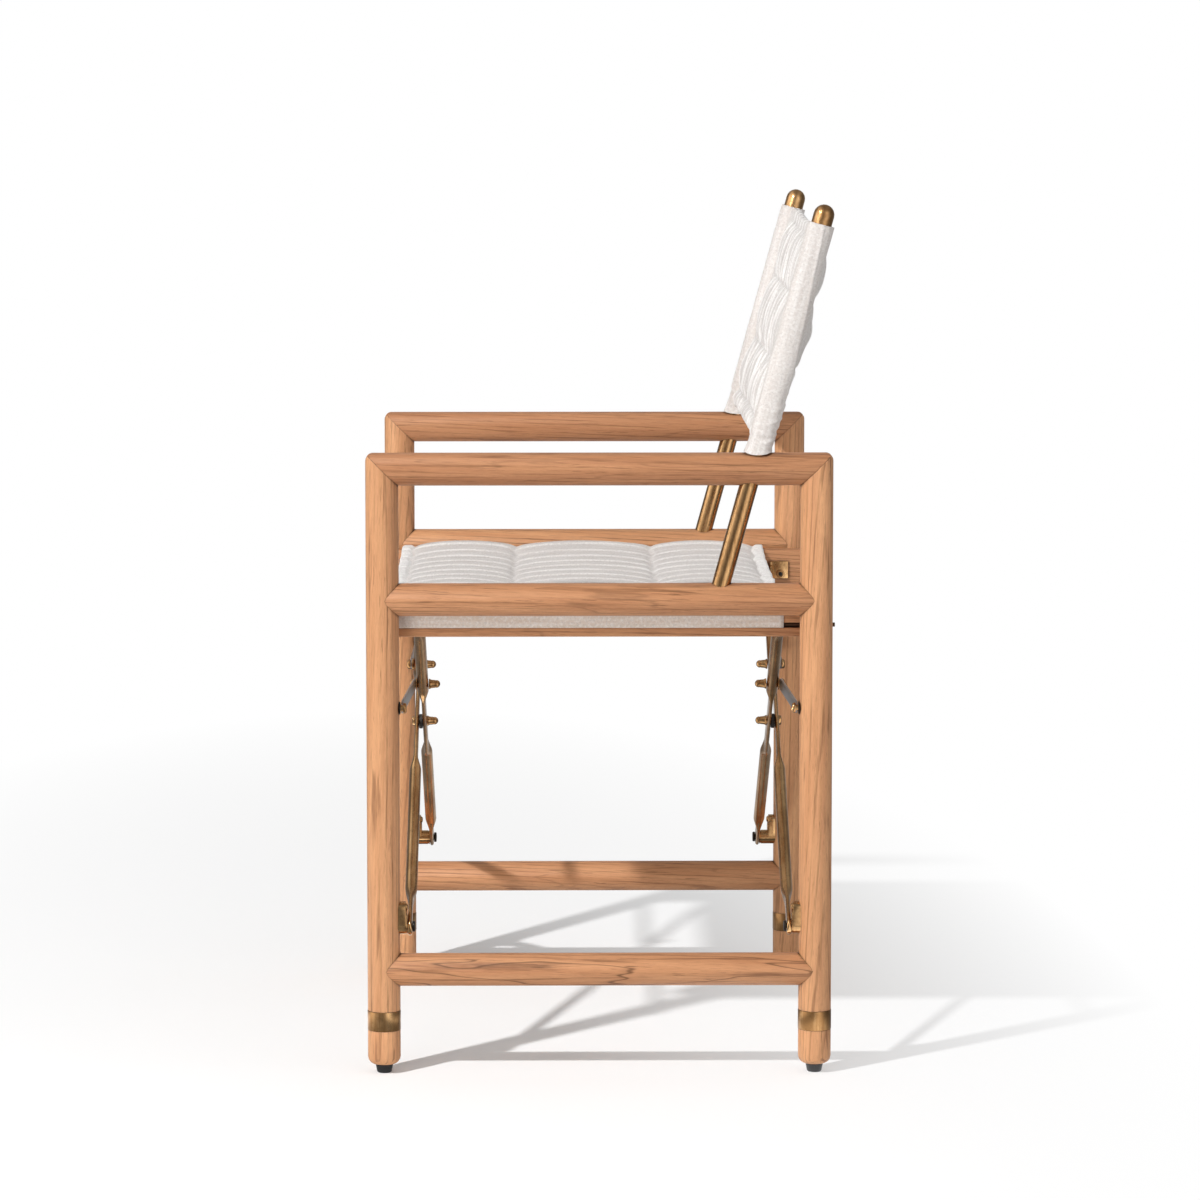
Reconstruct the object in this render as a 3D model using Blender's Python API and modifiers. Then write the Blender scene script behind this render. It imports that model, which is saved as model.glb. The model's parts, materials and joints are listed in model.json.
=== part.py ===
"""Folding director's chair: two round wooden side frames joined by front and rear scissor legs.

Metres, +Z up. The sitter faces -Y, and the sitter's left is +X. The origin is under the middle of the
chair's box, on the floor. Each left piece is modelled once and mirrored to the right, and the front
scissor is mirrored to the rear, because the real chair is made that way.
"""

import math

import bmesh
import bpy
from mathutils import Matrix, Vector

# Side frames
WOOD_RADIUS = 0.017
FRAME_X = 0.278
LEG_SPACING = 0.4474
ARM_HEIGHT = 0.6295
MID_RAIL_HEIGHT = 0.4945
STRETCHER_HEIGHT = 0.108
CORNER_ROUNDING = 0.009
FOOT_HEIGHT = 0.009
FOOT_ROUNDING = 0.008
FERRULE_BOTTOM = 0.0455
FERRULE_HEIGHT = 0.020
FERRULE_WALL = 0.0015
FERRULE_PROUD = 0.0003
GLIDE_TOP_RADIUS = 0.0092
GLIDE_BOTTOM_RADIUS = 0.0076
GLIDE_EDGE = 0.001
GAP = 0.0003

# Back posts
POST_RADIUS = 0.0095
POST_LEAN = math.radians(15.35)
POST_FOOT_Y = 0.1211
POST_SINK = 0.008
CAP_PROUD = 0.00125
CAP_LENGTH = 0.032
BACK_HEIGHT = 0.901

# Seat rails and the rods that hold the seat's hems in their grooves
RAIL_WIDTH = 0.020
RAIL_BOTTOM = 0.452
RAIL_TOP = 0.492
RAIL_OUTER_X = 0.249
RAIL_PROUD = 0.0123
RAIL_EDGE = 0.002
ROD_RADIUS = 0.0022
ROD_HEIGHT = 0.4640
ROD_DEPTH = 0.003
ROD_CLEARANCE = 0.0005
ROD_OVERHANG = 0.0043

# Scissor legs: leg A stands on the left frame and leg B on the right one
PIVOT_HEIGHT = 0.1534
CROSSING_HEIGHT = 0.329
TUBE_RADIUS = 0.00625
STRIP_THICKNESS = 0.0040
STRIP_HALF_WIDTH = 0.0095
TOP_TAB_HALF_WIDTH = 0.008
STRIP_HALF_LENGTH = 0.064
SHOULDER = 0.020
FOOT_TAB_LENGTH = 0.034
TOP_TAB_LENGTH = 0.024
LEG_A_INSET = 0.0102
LEG_B_INSET = 0.0187
TOP_PIVOT_X = 0.220

# Facets round the wooden bars, the pressed tubes and the small turned pieces
BAR_SIDES = 28
TUBE_SIDES = 12
FITTING_SIDES = 16

# Brass fittings
BARREL_RADIUS = 0.008
PLATE_RISE = 0.026
PLATE_THICKNESS = 0.0070
PLATE_STEP = 0.017
PLATE_STEP_THICKNESS = 0.0060
PIN_RADIUS = 0.003
HEAD_RADIUS = 0.0055
HEAD_HEIGHT = 0.003
NUT_RADIUS = 0.0052
NUT_FLANGE = 0.0035
DOME_RADIUS = 0.0042
NUT_LENGTH = 0.0125
SPACER_RADIUS = 0.0075
BRACKET_THICKNESS = 0.003
BRACKET_BOTTOM = 0.4595
BRACKET_TOP = 0.4795
BRACKET_SCREW_HEIGHT = 0.4650
BRACKET_REACH = 0.0215
BRACKET_SCREW_OFFSET = 0.0125
BRACKET_SCREW_RADIUS = 0.0048

# Stay links
LINK_FRAME_HEIGHT = 0.3818
LINK_DISTANCE = 0.0964
LINK_THICKNESS = 0.0025
LINK_HALF_WIDTH = 0.0063
WASHER_RADIUS = 0.0068
WASHER_THICKNESS = 0.001

# Seat
SEAT_FRONT = -0.222
SEAT_REAR = 0.190
SEAT_HEM = 0.013
SEAT_SEAMS = (-0.0928, 0.0605)
SEAT_CHANNELS = 11
SEAT_SKIN = 0.0022
SEAT_PAD = 0.007
SEAT_PUFF = 0.0095
SEAT_PUFF_BELOW = 0.006
SEAT_SAG = 0.006
SEAT_FOLD = 0.003
SEAT_HEM_RISE = 0.004
CHANNEL_DEPTH = 0.0012

# Back
SLEEVE_WALL = 0.00205
BACK_TOP = 0.8800
BACK_ROWS = (0.022, 0.086, 0.160)
BACK_HEM = 0.012
BACK_CHANNELS = 12
BACK_FRONT_TOP = 0.001
BACK_FRONT_BOTTOM = -0.008
BACK_REAR = 0.0165
BACK_REAR_BULGE = 0.005
BACK_FRONT_PUFF = 0.005
BACK_REAR_PUFF = 0.003
BACK_EDGE = 0.055

# Colours, as linear values
TEAK = (0.47, 0.24, 0.11)
BRASS = (0.38, 0.24, 0.09)
STEEL = (0.42, 0.40, 0.38)
FABRIC = (0.78, 0.76, 0.73)
RUBBER = (0.02, 0.02, 0.02)

# Worked out from the sizes above
CENTRE_Y = (FERRULE_PROUD - ROD_OVERHANG) / 2
RAIL_LENGTH = LEG_SPACING + 2 * RAIL_PROUD
LEG_Y = {"front": CENTRE_Y - LEG_SPACING / 2, "rear": CENTRE_Y + LEG_SPACING / 2}
LEG_SURFACE = LEG_SPACING / 2 - WOOD_RADIUS
LEG_A_PLANE = LEG_SURFACE - LEG_A_INSET
LEG_B_PLANE = LEG_SURFACE - LEG_B_INSET
CAP_RADIUS = POST_RADIUS + CAP_PROUD
SLEEVE_RADIUS = CAP_RADIUS + SLEEVE_WALL
SLOPE = math.atan2(CROSSING_HEIGHT - PIVOT_HEIGHT, FRAME_X)
FOOT_END = -FRAME_X / math.cos(SLOPE)
TOP_END = TOP_PIVOT_X / math.cos(SLOPE)
RAIL_INNER_X = RAIL_OUTER_X - RAIL_WIDTH
BACK_BOTTOM = ARM_HEIGHT + WOOD_RADIUS + GAP + SLEEVE_RADIUS * math.sin(POST_LEAN)

LINK_FRAME_PLANE = LEG_SURFACE - 2 * GAP - WASHER_THICKNESS - LINK_THICKNESS / 2

COLLECTIONS = {}
MATERIALS = {}


def clear_scene():
    for obj in list(bpy.data.objects):
        bpy.data.objects.remove(obj, do_unlink=True)


def make_collections():
    for name in ("directors_chair", "cutters"):
        COLLECTIONS[name] = bpy.data.collections.new(name)
        bpy.context.scene.collection.children.link(COLLECTIONS[name])


def make_material(name, colour, roughness, metallic=0.0):
    material = bpy.data.materials.new(name)
    material.use_nodes = True
    shader = material.node_tree.nodes["Principled BSDF"]
    shader.inputs["Base Color"].default_value = (*colour, 1.0)
    shader.inputs["Roughness"].default_value = roughness
    shader.inputs["Metallic"].default_value = metallic
    MATERIALS[name] = material


def make_materials():
    make_material("teak", TEAK, 0.55)
    make_material("brass", BRASS, 0.35, 1.0)
    make_material("steel", STEEL, 0.4, 1.0)
    make_material("fabric", FABRIC, 0.9)
    make_material("rubber", RUBBER, 0.6)


def add_object(name, mesh, material):
    obj = bpy.data.objects.new(name, mesh)
    COLLECTIONS["directors_chair"].objects.link(obj)
    mesh.materials.clear()
    mesh.materials.append(MATERIALS[material])
    return obj


def finish_mesh(name, bm, material):
    bmesh.ops.recalc_face_normals(bm, faces=bm.faces)
    mesh = bpy.data.meshes.new(name)
    bm.to_mesh(mesh)
    bm.free()
    mesh.shade_smooth()
    mesh.set_sharp_from_angle(angle=math.radians(35))
    return add_object(name, mesh, material)


def as_cutter(obj):
    """A cutter is kept in its own collection, out of the render."""
    COLLECTIONS["directors_chair"].objects.unlink(obj)
    COLLECTIONS["cutters"].objects.link(obj)
    obj.hide_render = True
    obj.display_type = "WIRE"
    return obj


def cylinder(name, radius, start, end, material="brass", sides=BAR_SIDES, turn=0.0):
    """A round bar from one point to another."""
    start, end = Vector(start), Vector(end)
    axis = end - start
    bm = bmesh.new()
    spin = Matrix.Rotation(turn, 4, "Z")
    bmesh.ops.create_cone(
        bm, cap_ends=True, segments=sides, radius1=radius, radius2=radius, depth=axis.length, matrix=spin
    )
    obj = finish_mesh(name, bm, material)
    obj.location = (start + end) / 2
    obj.rotation_euler = axis.to_track_quat("Z", "Y").to_euler()
    return obj


def box(name, low, high, material="brass", edge=0.0):
    low, high = Vector(low), Vector(high)
    bm = bmesh.new()
    bmesh.ops.create_cube(bm, size=1.0)
    bmesh.ops.scale(bm, vec=high - low, verts=bm.verts)
    obj = finish_mesh(name, bm, material)
    obj.location = (low + high) / 2
    if edge:
        bevel = obj.modifiers.new("edges", "BEVEL")
        bevel.width = edge
        bevel.segments = 2
    return obj


def turned(name, profile, place, direction, material="brass", sides=BAR_SIDES, closed=False):
    """A shape turned about an axis: profile points are (radius, distance along the axis), top to bottom."""
    mesh = bpy.data.meshes.new(name)
    edges = [(i, i + 1) for i in range(len(profile) - 1)]
    if closed:
        edges.append((len(profile) - 1, 0))
    mesh.from_pydata([(r, 0.0, h) for r, h in profile], edges, [])
    obj = add_object(name, mesh, material)
    screw = obj.modifiers.new("turn", "SCREW")
    screw.steps = screw.render_steps = sides
    screw.use_merge_vertices = True
    screw.merge_threshold = 0.00001
    screw.use_smooth_shade = True
    obj.location = place
    obj.rotation_euler = Vector(direction).to_track_quat("Z", "Y").to_euler()
    return obj


def combine(obj, other, operation="DIFFERENCE"):
    modifier = obj.modifiers.new(operation.lower(), "BOOLEAN")
    modifier.operation = operation
    modifier.object = other
    modifier.solver = "EXACT"
    return obj


def arc(centre, radius, start, end, steps):
    """Points on an arc in the profile plane, angles in degrees."""
    points = []
    for i in range(steps + 1):
        angle = math.radians(start + (end - start) * i / steps)
        points.append((centre[0] + radius * math.cos(angle), centre[1] + radius * math.sin(angle)))
    return points


def baked(obj, name, mirror, material=None):
    """A separate copy of an object's finished shape, mirrored in X or Y by the given matrix."""
    bpy.context.view_layer.update()
    graph = bpy.context.evaluated_depsgraph_get()
    mesh = bpy.data.meshes.new_from_object(obj.evaluated_get(graph))
    mesh.transform(mirror @ obj.matrix_world)
    if mirror.determinant() < 0:
        mesh.flip_normals()
    return add_object(name, mesh, material or obj.data.materials[0].name)


def mirror_x():
    return Matrix.Diagonal((-1.0, 1.0, 1.0, 1.0))


def mirror_y():
    centre = Matrix.Translation((0.0, CENTRE_Y, 0.0))
    return centre @ Matrix.Diagonal((1.0, -1.0, 1.0, 1.0)) @ centre.inverted()


def to_the_right(obj):
    return baked(obj, obj.name.replace("left", "right"), mirror_x())


def to_the_rear(obj):
    return baked(obj, obj.name.replace("front", "rear"), mirror_y())


def front(distance):
    """Y of a plane at this distance in front of the chair's middle."""
    return CENTRE_Y - distance


# Side frames


def leg_profile():
    core = WOOD_RADIUS - FERRULE_WALL - GAP
    top = FERRULE_BOTTOM + FERRULE_HEIGHT + GAP
    bottom = FERRULE_BOTTOM - GAP
    rounding = arc((WOOD_RADIUS - FOOT_ROUNDING, FOOT_HEIGHT + FOOT_ROUNDING), FOOT_ROUNDING, 0, -90, 4)
    return [
        (0.0, ARM_HEIGHT + WOOD_RADIUS),
        (WOOD_RADIUS, ARM_HEIGHT + WOOD_RADIUS),
        (WOOD_RADIUS, top),
        (core, top),
        (core, bottom),
        (WOOD_RADIUS, bottom),
        *rounding,
        (0.0, FOOT_HEIGHT),
    ]


def mitre_cutter(end, keep_leg):
    """A half space on one side of the 45 degree joint between a leg and the arm rail."""
    inward = 1.0 if end == "front" else -1.0
    size = 0.12
    normal = Vector((0.0, inward, 1.0)).normalized()
    if not keep_leg:
        normal.negate()
    corner = Vector((FRAME_X, LEG_Y[end], ARM_HEIGHT))
    place = corner + normal * (size / 2 - GAP / 2)
    cutter = box("mitre", Vector((-size / 2,) * 3), Vector((size / 2,) * 3))
    cutter.location = place
    cutter.rotation_euler = (math.radians(45), 0.0, 0.0)
    return as_cutter(cutter)


def corner_cutter(end):
    """Removes what stands outside the rounded top corner of a side frame."""
    outward = -1.0 if end == "front" else 1.0
    edge_y = LEG_Y[end] + outward * WOOD_RADIUS
    top = ARM_HEIGHT + WOOD_RADIUS
    extra = 0.002
    low_y, high_y = sorted((edge_y - outward * CORNER_ROUNDING, edge_y + outward * extra))
    half = 2 * WOOD_RADIUS
    block = box(
        "corner", (FRAME_X - half, low_y, top - CORNER_ROUNDING), (FRAME_X + half, high_y, top + extra)
    )
    centre = (edge_y - outward * CORNER_ROUNDING, top - CORNER_ROUNDING)
    drum = cylinder(
        "corner_drum",
        CORNER_ROUNDING,
        (FRAME_X - 2 * half, *centre),
        (FRAME_X + 2 * half, *centre),
        sides=24,
        turn=math.radians(7.5),
    )
    combine(block, as_cutter(drum))
    return as_cutter(block)


def frame_leg(end, corner):
    place = (FRAME_X, LEG_Y[end], 0.0)
    leg = turned(f"left_{end}_leg", leg_profile(), place, (0, 0, 1), "teak")
    combine(leg, mitre_cutter(end, keep_leg=True))
    return combine(leg, corner)


def post_bore():
    radius = POST_RADIUS + GAP
    foot, top = post_ends()
    return as_cutter(cylinder("post_bore", radius, foot - post_axis() * GAP, top, sides=FITTING_SIDES))


def post_axis():
    return Vector((0.0, math.sin(POST_LEAN), math.cos(POST_LEAN)))


def post_point(height):
    """The post axis at a height."""
    rise = height - MID_RAIL_HEIGHT
    return Vector((FRAME_X, CENTRE_Y + POST_FOOT_Y + rise * math.tan(POST_LEAN), height))


def post_ends():
    return post_point(MID_RAIL_HEIGHT - POST_SINK), post_point(BACK_HEIGHT - CAP_RADIUS)


def rail(name, height, bore=None):
    """A round rail with its ends coped to the legs."""
    start = (FRAME_X, LEG_Y["front"], height)
    end = (FRAME_X, LEG_Y["rear"], height)
    obj = cylinder(name, WOOD_RADIUS, start, end, "teak")
    for leg_y in LEG_Y.values():
        low = (FRAME_X, leg_y, height - 2 * WOOD_RADIUS)
        high = (FRAME_X, leg_y, height + 2 * WOOD_RADIUS)
        combine(obj, as_cutter(cylinder("cope", WOOD_RADIUS + GAP, low, high)))
    if bore:
        combine(obj, bore)
    return obj


def arm_rail(corners, bore):
    start = (FRAME_X, LEG_Y["front"] - WOOD_RADIUS, ARM_HEIGHT)
    end = (FRAME_X, LEG_Y["rear"] + WOOD_RADIUS, ARM_HEIGHT)
    obj = cylinder("left_arm_rail", WOOD_RADIUS, start, end, "teak")
    for leg_end in LEG_Y:
        combine(obj, mitre_cutter(leg_end, keep_leg=False))
        combine(obj, corners[leg_end])
    return combine(obj, bore)


def ferrule(end):
    outer = WOOD_RADIUS + FERRULE_PROUD
    inner = WOOD_RADIUS - FERRULE_WALL
    top = FERRULE_BOTTOM + FERRULE_HEIGHT
    profile = [(outer, top), (outer, FERRULE_BOTTOM), (inner, FERRULE_BOTTOM), (inner, top)]
    place = (FRAME_X, LEG_Y[end], 0.0)
    return turned(f"left_{end}_ferrule", profile, place, (0, 0, 1), closed=True)


def glide(end):
    profile = [
        (0.0, FOOT_HEIGHT - GAP),
        (GLIDE_TOP_RADIUS, FOOT_HEIGHT - GAP),
        (GLIDE_BOTTOM_RADIUS, GLIDE_EDGE),
        (GLIDE_BOTTOM_RADIUS - GLIDE_EDGE, 0.0),
        (0.0, 0.0),
    ]
    return turned(f"left_{end}_glide", profile, (FRAME_X, LEG_Y[end], 0.0), (0, 0, 1), "rubber", FITTING_SIDES)


def back_post():
    foot, top = post_ends()
    return cylinder("left_back_post", POST_RADIUS, foot, top - post_axis() * (CAP_LENGTH + GAP), sides=FITTING_SIDES)


def post_cap():
    """The solid brass top of a post, with a domed end."""
    top = post_ends()[1]
    dome = arc((0.0, 0.0), CAP_RADIUS, 90, 0, 5)
    profile = [*dome, (CAP_RADIUS, -CAP_LENGTH), (0.0, -CAP_LENGTH)]
    profile[0] = (0.0, CAP_RADIUS)
    return turned("left_post_cap", profile, top, post_axis(), sides=FITTING_SIDES)


def hinge_bracket(name, plane, height):
    """The bracket on a frame leg whose barrel and pin carry the foot of a scissor leg."""
    tab = STRIP_THICKNESS / 2
    base = LEG_SURFACE + WOOD_RADIUS / 2
    barrel_end = plane + tab + GAP
    head = plane - tab - GAP
    profile = [
        (0.0, head - HEAD_HEIGHT),
        (HEAD_RADIUS, head - HEAD_HEIGHT),
        (HEAD_RADIUS, head),
        (PIN_RADIUS, head),
        (PIN_RADIUS, barrel_end),
        (BARREL_RADIUS, barrel_end),
        (BARREL_RADIUS, base),
        (0.0, base),
    ]
    profile = [(r, -d) for r, d in profile]
    obj = turned(name, profile, (FRAME_X, CENTRE_Y, height), (0, 1, 0), sides=FITTING_SIDES)
    upper = (LEG_SURFACE - PLATE_STEP_THICKNESS, height + PLATE_RISE, BARREL_RADIUS)
    lower = (LEG_SURFACE - PLATE_THICKNESS, height + PLATE_STEP, BARREL_RADIUS - GAP)
    for face, top, half_width in (upper, lower):
        for piece in strap(face, base, height, top - half_width, half_width):
            combine(obj, as_cutter(piece), "UNION")
    low = (FRAME_X, LEG_Y["front"], height - PLATE_RISE)
    high = (FRAME_X, LEG_Y["front"], height + 2 * PLATE_RISE)
    return combine(obj, as_cutter(cylinder("leg_space", WOOD_RADIUS + GAP, low, high)))


def strap(face, base, bottom, top, half_width):
    """The flat part of a hinge bracket, from its barrel up to a rounded top."""
    low = (FRAME_X - half_width, front(base), bottom)
    high = (FRAME_X + half_width, front(face), top)
    start = (FRAME_X, front(base), top)
    end = (FRAME_X, front(face), top)
    return box("strap", low, high), cylinder("strap_top", half_width, start, end, sides=FITTING_SIDES)


def link_screw(name, inner_face):
    """The screw and washer that hold a stay link to a frame leg. The link turns on it."""
    washer_face = LEG_SURFACE - GAP - WASHER_THICKNESS
    head = inner_face - GAP
    base = LEG_SURFACE + WOOD_RADIUS / 2
    profile = [
        (0.0, head - HEAD_HEIGHT),
        (HEAD_RADIUS * 0.6, head - HEAD_HEIGHT),
        (HEAD_RADIUS, head - HEAD_HEIGHT / 2),
        (HEAD_RADIUS, head),
        (PIN_RADIUS, head),
        (PIN_RADIUS, washer_face),
        (WASHER_RADIUS, washer_face),
        (WASHER_RADIUS, base),
        (0.0, base),
    ]
    profile = [(r, -d) for r, d in profile]
    place = (FRAME_X, CENTRE_Y, LINK_FRAME_HEIGHT)
    obj = turned(name, profile, place, (0, 1, 0), sides=FITTING_SIDES)
    low = (FRAME_X, LEG_Y["front"], LINK_FRAME_HEIGHT - PLATE_RISE)
    high = (FRAME_X, LEG_Y["front"], LINK_FRAME_HEIGHT + PLATE_RISE)
    return combine(obj, as_cutter(cylinder("leg_space", WOOD_RADIUS + GAP, low, high)))


# Scissor legs


def leg_section(distance):
    """Half width, half thickness and squareness of a scissor leg at a distance above the crossing."""
    flat = max(
        flatness(abs(distance), STRIP_HALF_LENGTH),
        flatness(distance - FOOT_END, FOOT_TAB_LENGTH),
        flatness(TOP_END - distance, TOP_TAB_LENGTH),
    )
    strip = TOP_TAB_HALF_WIDTH if distance > TOP_END / 2 else STRIP_HALF_WIDTH
    width = TUBE_RADIUS + (strip - TUBE_RADIUS) * flat
    thickness = TUBE_RADIUS + (STRIP_THICKNESS / 2 - TUBE_RADIUS) * flat
    beyond = max(FOOT_END - distance, distance - TOP_END, 0.0)
    if beyond:
        width = math.sqrt(max(strip**2 - beyond**2, 0.0))
    return width, thickness, 2.0 + 6.0 * flat


def flatness(distance, flat_until):
    """1 where the tube is pressed flat, 0 where it is round, and a smooth step between."""
    t = min(max((flat_until + SHOULDER - distance) / SHOULDER, 0.0), 1.0)
    return t * t * (3.0 - 2.0 * t)


def leg_stations():
    """Distances from the crossing at which the section is set."""
    shoulder = [SHOULDER * i / 3 for i in range(4)]
    tip = [math.sin(math.radians(angle)) for angle in (0, 35, 70)]
    stations = [FOOT_END - STRIP_HALF_WIDTH * t for t in tip]
    stations += [TOP_END + TOP_TAB_HALF_WIDTH * t for t in tip]
    stations += [FOOT_END + FOOT_TAB_LENGTH + s for s in shoulder]
    stations += [TOP_END - TOP_TAB_LENGTH - s for s in shoulder]
    for side in (-1, 1):
        stations += [side * (STRIP_HALF_LENGTH + s) for s in shoulder]
    return sorted(stations)


def pressed_tube():
    """A tube along X through the crossing, pressed flat at both ends and in the middle."""
    stations = leg_stations()
    middle = Matrix.Translation(((stations[0] + stations[-1]) / 2, 0, 0))
    bm = bmesh.new()
    bmesh.ops.create_cone(
        bm,
        cap_ends=True,
        segments=TUBE_SIDES,
        radius1=1.0,
        radius2=1.0,
        depth=stations[-1] - stations[0],
        matrix=middle @ Matrix.Rotation(math.pi / 2, 4, "Y"),
    )
    for station in stations[1:-1]:
        geometry = list(bm.verts) + list(bm.edges) + list(bm.faces)
        bmesh.ops.bisect_plane(bm, geom=geometry, plane_co=(station, 0, 0), plane_no=(1, 0, 0), dist=1e-7)
    for vert in bm.verts:
        width, thickness, power = leg_section(vert.co.x)
        angle = math.atan2(vert.co.y, vert.co.z)
        across, through = math.cos(angle), math.sin(angle)
        vert.co.z = width * math.copysign(abs(across) ** (2 / power), across)
        vert.co.y = thickness * math.copysign(abs(through) ** (2 / power), through)
    return bm


def leg_point(side, distance):
    """X and Z of a point on a scissor leg, at a distance above the crossing.

    side is 1 for leg A, which stands on the left frame, and -1 for leg B."""
    return -side * distance * math.cos(SLOPE), CROSSING_HEIGHT + distance * math.sin(SLOPE)


def scissor_leg(name, plane, side):
    obj = finish_mesh(name, pressed_tube(), "brass")
    turn = math.pi - SLOPE if side > 0 else SLOPE
    obj.rotation_euler = (0.0, -turn, 0.0)
    obj.location = (0.0, front(plane), CROSSING_HEIGHT)
    for distance in (FOOT_END, 0.0, TOP_END):
        combine(obj, pin_hole(*leg_point(side, distance), plane))
    return obj


def pin_hole(x, z, plane):
    reach = 2 * TUBE_RADIUS
    start = (x, front(plane + reach), z)
    end = (x, front(plane - reach), z)
    return as_cutter(cylinder("pin_hole", PIN_RADIUS + GAP, start, end, sides=FITTING_SIDES))


def nut_profile(face):
    """An acorn nut whose flat face is at this distance from the chair's middle."""
    dome_base = face - NUT_LENGTH + DOME_RADIUS
    dome = [(r, dome_base - h) for r, h in arc((0.0, 0.0), DOME_RADIUS, 90, 0, 3)]
    dome[0] = (0.0, dome_base - DOME_RADIUS)
    return [*dome, (DOME_RADIUS, face - NUT_FLANGE), (NUT_RADIUS, face - NUT_FLANGE), (NUT_RADIUS, face)]


def cross_bolt():
    """The bolt through both scissor legs, with its acorn nut on the inner side."""
    inner = LEG_B_PLANE - STRIP_THICKNESS / 2 - GAP
    outer = LEG_A_PLANE + STRIP_THICKNESS / 2 + GAP
    profile = [
        *nut_profile(inner),
        (PIN_RADIUS, inner),
        (PIN_RADIUS, outer),
        (HEAD_RADIUS, outer),
        (HEAD_RADIUS, outer + HEAD_HEIGHT),
        (0.0, outer + HEAD_HEIGHT),
    ]
    profile = [(r, -d) for r, d in profile]
    return turned("front_cross_bolt", profile, (0.0, CENTRE_Y, CROSSING_HEIGHT), (0, 1, 0), sides=FITTING_SIDES)


def cross_spacer():
    near = LEG_B_PLANE + STRIP_THICKNESS / 2 + GAP
    far = LEG_A_PLANE - STRIP_THICKNESS / 2 - GAP
    bore = PIN_RADIUS + GAP
    profile = [(SPACER_RADIUS, near), (SPACER_RADIUS, far), (bore, far), (bore, near)]
    profile = [(r, -d) for r, d in profile]
    place = (0.0, CENTRE_Y, CROSSING_HEIGHT)
    return turned("front_cross_spacer", profile, place, (0, 1, 0), "rubber", FITTING_SIDES, closed=True)


def link_nut(name, plane, side):
    """The acorn nut on the inner side of a leg, where a stay link is bolted to it."""
    face = plane - TUBE_RADIUS - GAP
    profile = [(r, -d) for r, d in [*nut_profile(face), (0.0, face)]]
    x, z = leg_point(side, LINK_DISTANCE)
    return turned(name, profile, (x, CENTRE_Y, z), (0, 1, 0), sides=FITTING_SIDES)


def stay_link(name, side, plane):
    """A flat link from a frame to a scissor leg, with the bolt head and spacer of its inner end."""
    leg_face = plane + TUBE_RADIUS + GAP
    leg_plane = leg_face + WASHER_THICKNESS + LINK_THICKNESS / 2
    x, z = leg_point(side, LINK_DISTANCE)
    leg_end = Vector((x, front(leg_plane), z))
    frame_end = Vector((math.copysign(FRAME_X, x), front(LINK_FRAME_PLANE), LINK_FRAME_HEIGHT))
    along = leg_end - frame_end
    bm = bmesh.new()
    bmesh.ops.create_cube(bm, size=1.0)
    bmesh.ops.scale(bm, vec=(along.length, LINK_THICKNESS, 2 * LINK_HALF_WIDTH), verts=bm.verts)
    obj = finish_mesh(name, bm, "steel")
    obj.location = (frame_end + leg_end) / 2
    yaw = math.atan2(along.y * math.copysign(1.0, along.x), abs(along.x))
    pitch = -math.atan2(along.z * math.copysign(1.0, along.x), abs(along.x))
    obj.rotation_euler = (0.0, pitch, yaw)
    half = Vector((0.0, LINK_THICKNESS / 2, 0.0))
    for point in (frame_end, leg_end):
        end = cylinder("link_end", LINK_HALF_WIDTH, point - half, point + half, sides=FITTING_SIDES)
        combine(obj, as_cutter(end), "UNION")
    outer = leg_plane + LINK_THICKNESS / 2 + HEAD_HEIGHT
    profile = [
        (0.0, leg_face),
        (HEAD_RADIUS, leg_face),
        (HEAD_RADIUS, outer),
        (0.0, outer),
    ]
    place = (leg_end.x, CENTRE_Y, leg_end.z)
    head = turned("link_bolt", [(r, -d) for r, d in profile], place, (0, 1, 0), sides=FITTING_SIDES)
    combine(obj, as_cutter(head), "UNION")
    start, end = frame_end - 5 * half, frame_end + 5 * half
    return combine(obj, as_cutter(cylinder("link_hole", PIN_RADIUS + GAP, start, end, sides=FITTING_SIDES)))


# Seat rails


def seat_rail():
    low = (RAIL_INNER_X, CENTRE_Y - RAIL_LENGTH / 2, RAIL_BOTTOM)
    high = (RAIL_OUTER_X, CENTRE_Y + RAIL_LENGTH / 2, RAIL_TOP)
    obj = box("left_seat_rail", low, high, "teak", RAIL_EDGE)
    radius = ROD_RADIUS + ROD_CLEARANCE
    x = RAIL_OUTER_X - ROD_RADIUS - ROD_DEPTH
    start = (x, CENTRE_Y - RAIL_LENGTH, ROD_HEIGHT)
    end = (x, CENTRE_Y + RAIL_LENGTH, ROD_HEIGHT)
    slot_low = (x, CENTRE_Y - RAIL_LENGTH, ROD_HEIGHT - radius)
    slot_high = (RAIL_OUTER_X + RAIL_EDGE, CENTRE_Y + RAIL_LENGTH, ROD_HEIGHT + radius)
    combine(obj, as_cutter(box("groove", slot_low, slot_high)))
    return combine(obj, as_cutter(cylinder("groove_end", radius, start, end, sides=FITTING_SIDES)))


def seat_rod():
    x = RAIL_OUTER_X - ROD_RADIUS - ROD_DEPTH
    start = (x, LEG_Y["front"], ROD_HEIGHT)
    end = (x, LEG_Y["rear"] + WOOD_RADIUS + ROD_OVERHANG, ROD_HEIGHT)
    return cylinder("left_seat_rod", ROD_RADIUS, start, end, "steel", sides=12)


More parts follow.
